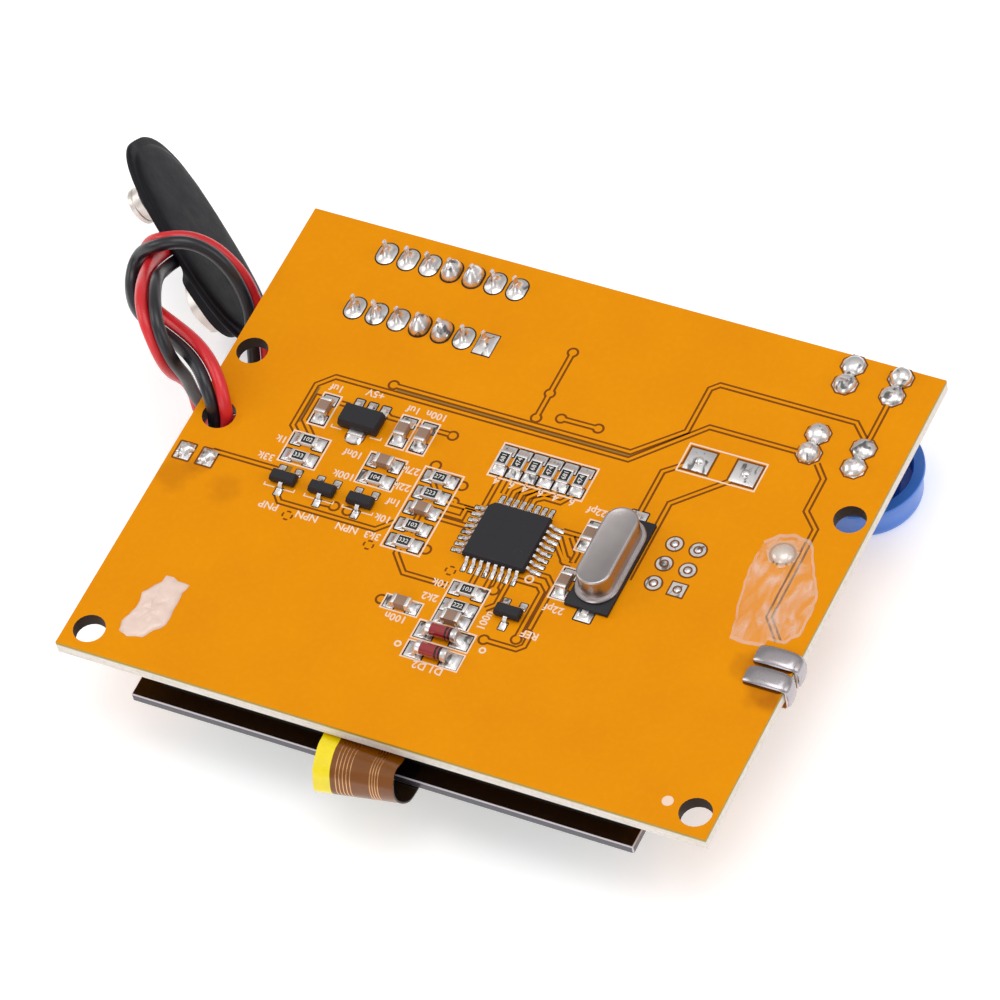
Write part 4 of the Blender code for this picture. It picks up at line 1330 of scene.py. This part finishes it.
def crinkled_patch(outline, rings, height, wrinkle, bulge, seed):
    """A thin uneven skin over the board inside an outline; bulge gives extra height at a point."""
    middle = centre_of(outline)
    layers = [raise_to(outline, PATCH_FOOT)]
    for i in range(rings):
        share = 1 - i / rings
        rim = min(1.0, (1 - share) * rings / 1.5)
        ring = []
        for p in outline:
            q = middle + (Vector(p) - middle) * share
            fold = noise.noise(Vector((q.x * 0.9, q.y * 0.55, seed)))
            fold += 0.6 * noise.noise(Vector((q.x * 2.6, q.y * 2.1, seed)))
            z = 0.03 + rim * height + wrinkle * rim * abs(fold) + bulge(q)
            ring.append((q.x, q.y, z))
        layers.append(ring)
    layers.append([(middle.x, middle.y, 0.03 + height + bulge(middle))] * len(outline))
    shape = Shape()
    shape.loft(layers)
    return shape


def off_blob(point):
    """Squared distance of a point from the middle of the solder blob under the tape."""
    return (point.x - BLOB[0]) ** 2 + (point.y - BLOB[1]) ** 2


def make_patches(art, paints):
    outline = ragged(TAPE_OUTLINE, 4, 0.22, 1.0)
    tape = crinkled_patch(outline, 16, 0.05, 0.16, lambda q: 0.62 * math.exp(-off_blob(q) / 1.5), 3.0)
    for i, face in enumerate(tape.faces):
        in_rim = i < 2 * len(outline)
        by_blob = off_blob(centre_of([tape.points[k] for k in face])) < 2.6
        tape.paints[i] = 1 if in_rim or by_blob else 0
    tape.piece("tape_patch", [paints["tape"], paints["tape_rim"]], "board", smooth=60.0)
    art.gaps.washer(*BLOB, 1.0, 1.42, SINK, GAP_TOP)
    art.dome(*BLOB, 1.2, 0.5, 2.0)
    glue = crinkled_patch(ragged(GLUE_OUTLINE, 4, 0.3, 5.0), 12, 0.16, 0.3, lambda q: 0.0, 8.0)
    glue.piece("glue_patch", [paints["glue"]], "board", smooth=60.0)


# Display, with its flexible cable.


def make_display(paints):
    for node, flat in (("display_rear_glass", "glass_dark"), ("display_front_glass", "window")):
        looks = [paints[flat], paints["display_edge"], paints["painted_arris_highlight"]]
        glass = refined(node, looks, 0.12, lambda face: 0 if abs(face.normal.z) > 0.7 else 1)
        # The rounded arris takes the third paint, a painted highlight line along the glass edge.
        glass.modifiers["rounded"].material = 2
        glass.modifiers["rounded"].segments = 2
    refined("display_polarizer", [paints["window"]], 0.05)
    refined("display_driver_chip", [paints["chip"]], 0.05)
    refined("display_backlight", [paints["backlight"]], 0.3)
    for node in ("foam_pad_left", "foam_pad_right"):
        refined(node, [paints["foam"]], 0.2)
    for node in ("backlight_tab_1", "backlight_tab_2"):
        refined(node, [paints["tin"]], 0.03)
    make_flex(paints)


# The cable's section at its two edges, as (y, z) round the board's edge.
FLEX_NEAR = (
    (-25.0, -1.85), (-28.0, -1.95), (-29.9, -2.2), (-31.4, -1.35), (-32.6, -0.95), (-33.4, -1.5),
    (-33.95, -2.5), (-33.9, -3.5), (-33.4, -4.5), (-32.4, -5.4), (-31.2, -5.7), (-29.0, -5.7),
)
FLEX_FAR = (
    (-25.0, -1.85), (-28.0, -1.9), (-30.05, -2.05), (-31.4, -1.75), (-32.7, -2.1), (-33.8, -2.7),
    (-34.35, -3.6), (-34.75, -4.4), (-34.65, -5.1), (-33.6, -5.72), (-31.8, -5.74), (-29.0, -5.7),
)
FLEX_WIDTH = 9.0
FLEX_HALF_THICK = 0.09


FLEX_COLUMNS = 91
FLEX_STEPS = 64
# Places in the cable's list of paints.
# The second place is the painted shade of the loop's inner side and long edges.
FILM, INNER_SHADE, COPPER, YELLOW = range(4)


def flex_paint(column):
    """A yellow strip along one edge, and two groups of copper lines with film between them."""
    if column < 19:
        return YELLOW
    if 24 <= column < 44 and (column - 24) % 4 == 1 or 62 <= column < 74 and (column - 62) % 3 == 1:
        return COPPER
    return FILM


def make_flex(paints):
    """The amber cable that rolls round the board's edge, with painted shade on its inner side and its two
    long edges.
    """
    outer = []
    inner = []
    run = np.arange(FLEX_STEPS) / (FLEX_STEPS - 1)
    drift = np.clip((run - 0.25) / 0.55, 0.0, 1.0)
    for c in range(FLEX_COLUMNS):
        share = c / (FLEX_COLUMNS - 1)
        middle = smooth_path((1 - share) * np.array(FLEX_FAR) + share * np.array(FLEX_NEAR), FLEX_STEPS)
        along = np.gradient(middle, axis=0)
        along /= np.linalg.norm(along, axis=1)[:, None]
        across = np.stack([-along[:, 1], along[:, 0]], axis=1) * FLEX_HALF_THICK
        x = -6.1 + FLEX_WIDTH * share + 1.35 * drift
        outer += [(x[i], *(middle[i] - across[i])) for i in range(FLEX_STEPS)]
        inner += [(x[i], *(middle[i] + across[i])) for i in range(FLEX_STEPS)]
    shape = Shape()
    shape.points = outer + inner
    back = len(outer)

    def add_face(corners, paint):
        shape.faces.append(corners)
        shape.paints.append(paint)

    for c in range(FLEX_COLUMNS - 1):
        for i in range(FLEX_STEPS - 1):
            a = c * FLEX_STEPS + i
            b = back + a
            add_face((a, a + 1, a + FLEX_STEPS + 1, a + FLEX_STEPS), flex_paint(c))
            add_face((b, b + FLEX_STEPS, b + FLEX_STEPS + 1, b + 1), INNER_SHADE)
        for a in (c * FLEX_STEPS, (c + 1) * FLEX_STEPS - 1):
            add_face((a, a + FLEX_STEPS, back + a + FLEX_STEPS, back + a), FILM)
    for c in (0, FLEX_COLUMNS - 1):
        for a in range(c * FLEX_STEPS, (c + 1) * FLEX_STEPS - 1):
            add_face((a, back + a, back + a + 1, a + 1), INNER_SHADE)
    looks = [paints["flex"], paints["flex_shade"], paints["copper"], paints["flex_yellow"]]
    shape.look("flex_cable", looks, smooth=60.0)


# Socket, switch and snap, under the board.


def make_socket(paints):
    refined("socket_base", [paints["socket"]], 0.15)
    refined("socket_cover", [paints["socket"]], 0.12)
    refined("socket_lever", [paints["steel"]], 0.12)


# The button cap's skin, as (radius, height) from the middle of its top over its skirt to its stem.
CAP_SKIN = (
    (0.02, 0.1), (2.6, 0.07), (4.2, 0.03), (5.2, 0.0), (5.6, 0.08), (5.85, 0.28), (5.96, 0.6), (5.99, 1.0),
    (6.02, 3.6), (6.08, 3.66), (6.40, 3.7), (6.45, 3.76), (6.45, 4.12), (6.38, 4.2),
    (5.3, 4.2), (5.2, 4.1), (5.15, 1.1), (5.0, 0.95), (3.6, 0.92), (3.5, 1.02), (3.45, 5.42), (3.38, 5.5),
)
CAP_STEPS = 72


def make_button(paints):
    refined("switch_base", [paints["chip"]], 0.15)
    refined("switch_cover", [paints["steel"]], 0.06)
    dome = refined("switch_dome", [paints["steel"]], 0.0)
    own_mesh(dome)
    refined("switch_plunger", [paints["chip"]], 0.1)
    x, y = middle_of("button_cap")
    top = local_box("button_cap")[0].z
    rings = [raise_to(circle(x, y, r, CAP_STEPS), top + h) for r, h in CAP_SKIN]
    # The stem's square hole has as many points as the rings, and starts at the same side.
    hole = around(x, y, 2.05, 2.05, 0.3, CAP_STEPS // 4 - 1)
    start = min(range(CAP_STEPS), key=lambda k: math.atan2(hole[k][1] - y, hole[k][0] - x) % math.tau)
    hole = hole[start:] + hole[:start]
    rings += [raise_to(hole, top + 5.45), raise_to(hole, top + 1.4)]
    shape = Shape()
    shape.loft(rings)
    shape.look("button_cap", [paints["blue"]], smooth=45.0)


# The snap. The middles are how far the CAD terminals' own middles lie out from the snap's.
STUD_MIDDLE = 2.425
SOCKET_MIDDLE = 2.275
# Half of the front plate's outline, as (along, across).
SNAP_PLATE = (
    (-8.5, 0.4), (-8.2, 1.3), (-7.4, 1.9), (-6.3, 2.1), (-3.5, 2.1), (0.5, 2.2), (2.2, 2.6),
    (3.0, 3.7), (4.5, 3.9), (6.5, 3.7), (8.5, 3.3), (9.8, 2.4), (10.5, 1.3), (10.7, 0.4),
)
# The back cover's side, as (share of its outline, height): a soft top, a stitched step and a hem.
SNAP_SIDE = (
    (0.05, -1.66), (0.35, -1.64), (0.62, -1.58), (0.78, -1.50), (0.86, -1.40), (0.905, -1.26), (0.915, -1.14),
    (0.925, -1.10), (0.965, -1.08), (0.992, -1.02), (1.0, -0.88), (1.0, -0.62), (0.99, -0.5),
)


def middle_in_space(node):
    return Vector([sum(ends) / 2 for ends in zip(*local_box(node))])


def snap_axes():
    """The snap's own axes (along it, across it, out of its terminals) and its middle, from the CAD pieces."""
    stud = middle_in_space("snap_stud")
    socket = middle_in_space("snap_socket")
    out = ((stud + socket) / 2 - middle_in_space("snap_back_cover")).normalized()
    stud -= out * STUD_MIDDLE
    socket -= out * SOCKET_MIDDLE
    along = (socket - stud).normalized()
    out = (out - along * out.dot(along)).normalized()
    return Matrix((along, out.cross(along), out)).transposed(), (stud + socket) / 2


def superellipse(reach, width, power):
    def flattened(value):
        return math.copysign(abs(value) ** (2 / power), value)
    turns = [math.tau * i / 96 for i in range(96)]
    return [(reach * flattened(math.cos(a)), width * flattened(math.sin(a))) for a in turns]


def snap_shape(rings):
    """A skin through rings given along the snap's own axes."""
    axes, middle = snap_axes()
    shape = Shape()
    shape.loft([[middle + axes @ Vector(p) for p in ring] for ring in rings])
    return shape


def snap_cover_ring(shrink, level):
    """The back cover's outline at one level, a little uneven as stitched leatherette is."""
    ring = []
    for x, y in superellipse(12.6, 6.4, 2.7):
        wave = noise.noise(Vector((x * 0.45, y * 0.45, 7.0)))
        dent = noise.noise(Vector((x * shrink * 0.35, y * shrink * 0.35, 2.0)))
        loose = max(0.0, shrink - 0.85) * 0.03
        sag = 0.07 * dent if shrink < 0.97 else 0.0
        ring.append((x * shrink * (1 + loose * wave), y * shrink * (1 + 2 * loose * wave), level + sag))
    return ring


def make_snap(paints):
    covering = [paints["leatherette"]]
    shape = snap_shape([snap_cover_ring(shrink, level) for shrink, level in SNAP_SIDE])
    cover = shape.look("snap_back_cover", covering, smooth=60.0, name="snap_cover_look")
    half = smooth_path([(x, y, 0.0) for x, y in SNAP_PLATE], 60)
    front = [(x, y) for x, y, z in half] + [(x, -y) for x, y, z in reversed(half)]
    levels = ((0.97, -0.49), (1.0, -0.45), (1.0, 1.54), (0.98, 1.6))
    shape = snap_shape([[(x * share, y * share, z) for x, y in front] for share, z in levels])
    plate = shape.look("snap_front_plate", covering, smooth=45.0, name="snap_front_look")
    stud = refined("snap_stud", [paints["nickel"]], 0.08)
    socket = refined("snap_socket", [paints["nickel"]], 0.12)
    return [cover, plate, stud, socket]


def make_leads(paints):
    lines = lead_lines()
    for colour, points in zip(("red", "black"), lines):
        name = colour + "_lead"
        made = make_lead(name + "_look", points, paints[colour + "_wire"])
        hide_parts(name)
    cores = Shape()
    for points, (x, y) in zip(lines, reversed(LEAD_PADS)):
        start = Vector(points[0] / MM)
        back = (start - Vector(points[3] / MM)).normalized()
        halfway = (x * 0.5 + start.x * 0.5, y - 0.75, -3.1)
        path = (start - back * 0.5, start + back * 0.3, halfway, (x, y, -BOARD_T - 0.4), (x, y, 0.35))
        cores.tube(smooth_path([tuple(p) for p in path], 24), 0.38, 14)
    cores.piece("lead_cores", [paints["tin"]], "steel", smooth=60.0)


# Floor, light and world.


def make_floor():
    mesh = bpy.data.meshes.new("floor")
    reach = 3.0
    corners = [(-reach, -reach, 0.0), (reach, -reach, 0.0), (reach, reach, 0.0), (-reach, reach, 0.0)]
    mesh.from_pydata(corners, [], [(0, 1, 2, 3)])
    floor = bpy.data.objects.new("floor", mesh)
    bpy.context.scene.collection.objects.link(floor)
    made = Surface("floor_paint", (0.8, 0.8, 0.8, 1.0), 0.9)
    made.set("Emission Color", (1.0, 1.0, 1.0, 1.0))
    made.set("Emission Strength", 0.42)
    made.mottle((0.76, 0.76, 0.76, 1.0), made.noise(120.0, 2.0), 0.3, 0.8, 0.15)
    clear = made.node("ShaderNodeBsdfTransparent")
    facing = made.node("ShaderNodeNewGeometry")
    mixed = made.node("ShaderNodeMixShader")
    out = made.nodes["Material Output"]
    made.links.new(facing.outputs["Backfacing"], mixed.inputs[0])
    made.links.new(made.shader.outputs[0], mixed.inputs[1])
    made.links.new(clear.outputs[0], mixed.inputs[2])
    made.links.new(mixed.outputs[0], out.inputs["Surface"])
    mesh.materials.append(made.material)


def make_world():
    """A pale studio: bright above, darker towards the walls so that metal has something to mirror."""
    world = bpy.data.worlds.new("studio")
    world.use_nodes = True
    tree = world.node_tree
    background = tree.nodes["Background"]
    coords = tree.nodes.new("ShaderNodeTexCoord")
    split = tree.nodes.new("ShaderNodeSeparateXYZ")
    ramp = tree.nodes.new("ShaderNodeValToRGB")
    stops = ((0.0, 0.9), (0.02, 0.55), (0.35, 0.42), (0.6, 0.45), (0.75, 0.72), (0.85, 0.62), (1.0, 0.8))
    while len(ramp.color_ramp.elements) < len(stops):
        ramp.color_ramp.elements.new(0.5)
    for element, (position, level) in zip(ramp.color_ramp.elements, stops):
        element.position = position
        element.color = (level, level, level, 1.0)
    tree.links.new(coords.outputs["Generated"], split.inputs[0])
    tree.links.new(split.outputs["Z"], ramp.inputs["Fac"])
    tree.links.new(ramp.outputs["Color"], background.inputs["Color"])
    background.inputs["Strength"].default_value = 1.0
    bpy.context.scene.world = world


def add_area_light(name, where, size, power):
    data = bpy.data.lights.new(name, "AREA")
    data.shape = "SQUARE"
    data.size = size
    data.energy = power
    made = bpy.data.objects.new(name, data)
    made.location = where
    made.rotation_euler = (Vector((0, 0, 0)) - Vector(where)).to_track_quat("-Z", "Y").to_euler()
    bpy.context.scene.collection.objects.link(made)


def make_lights():
    add_area_light("top", (0.1, 0.05, 1.1), 0.7, 3.55)
    add_area_light("left", (-0.75, -0.15, 0.45), 0.45, 1.35)
    add_area_light("right", (0.75, 0.1, 0.5), 0.5, 1.2)
    add_area_light("front", (-0.05, -0.8, 0.4), 0.5, 1.2)


def main():
    bpy.context.scene.view_settings.view_transform = "Standard"
    make_camera()
    paints = make_materials()
    snap = make_snap(paints)
    make_leads(paints)
    make_board(paints)
    art = make_artwork()
    make_resistors(art, paints)
    make_capacitors(art, paints)
    make_microcontroller(art, paints)
    make_transistors(art, paints)
    make_regulator(art, paints)
    make_diodes(art, paints)
    make_crystal(art, paints)
    make_patches(art, paints)
    finish_artwork(art, paints)
    make_display(paints)
    make_socket(paints)
    make_button(paints)
    make_floor()
    make_world()
    make_lights()


main()
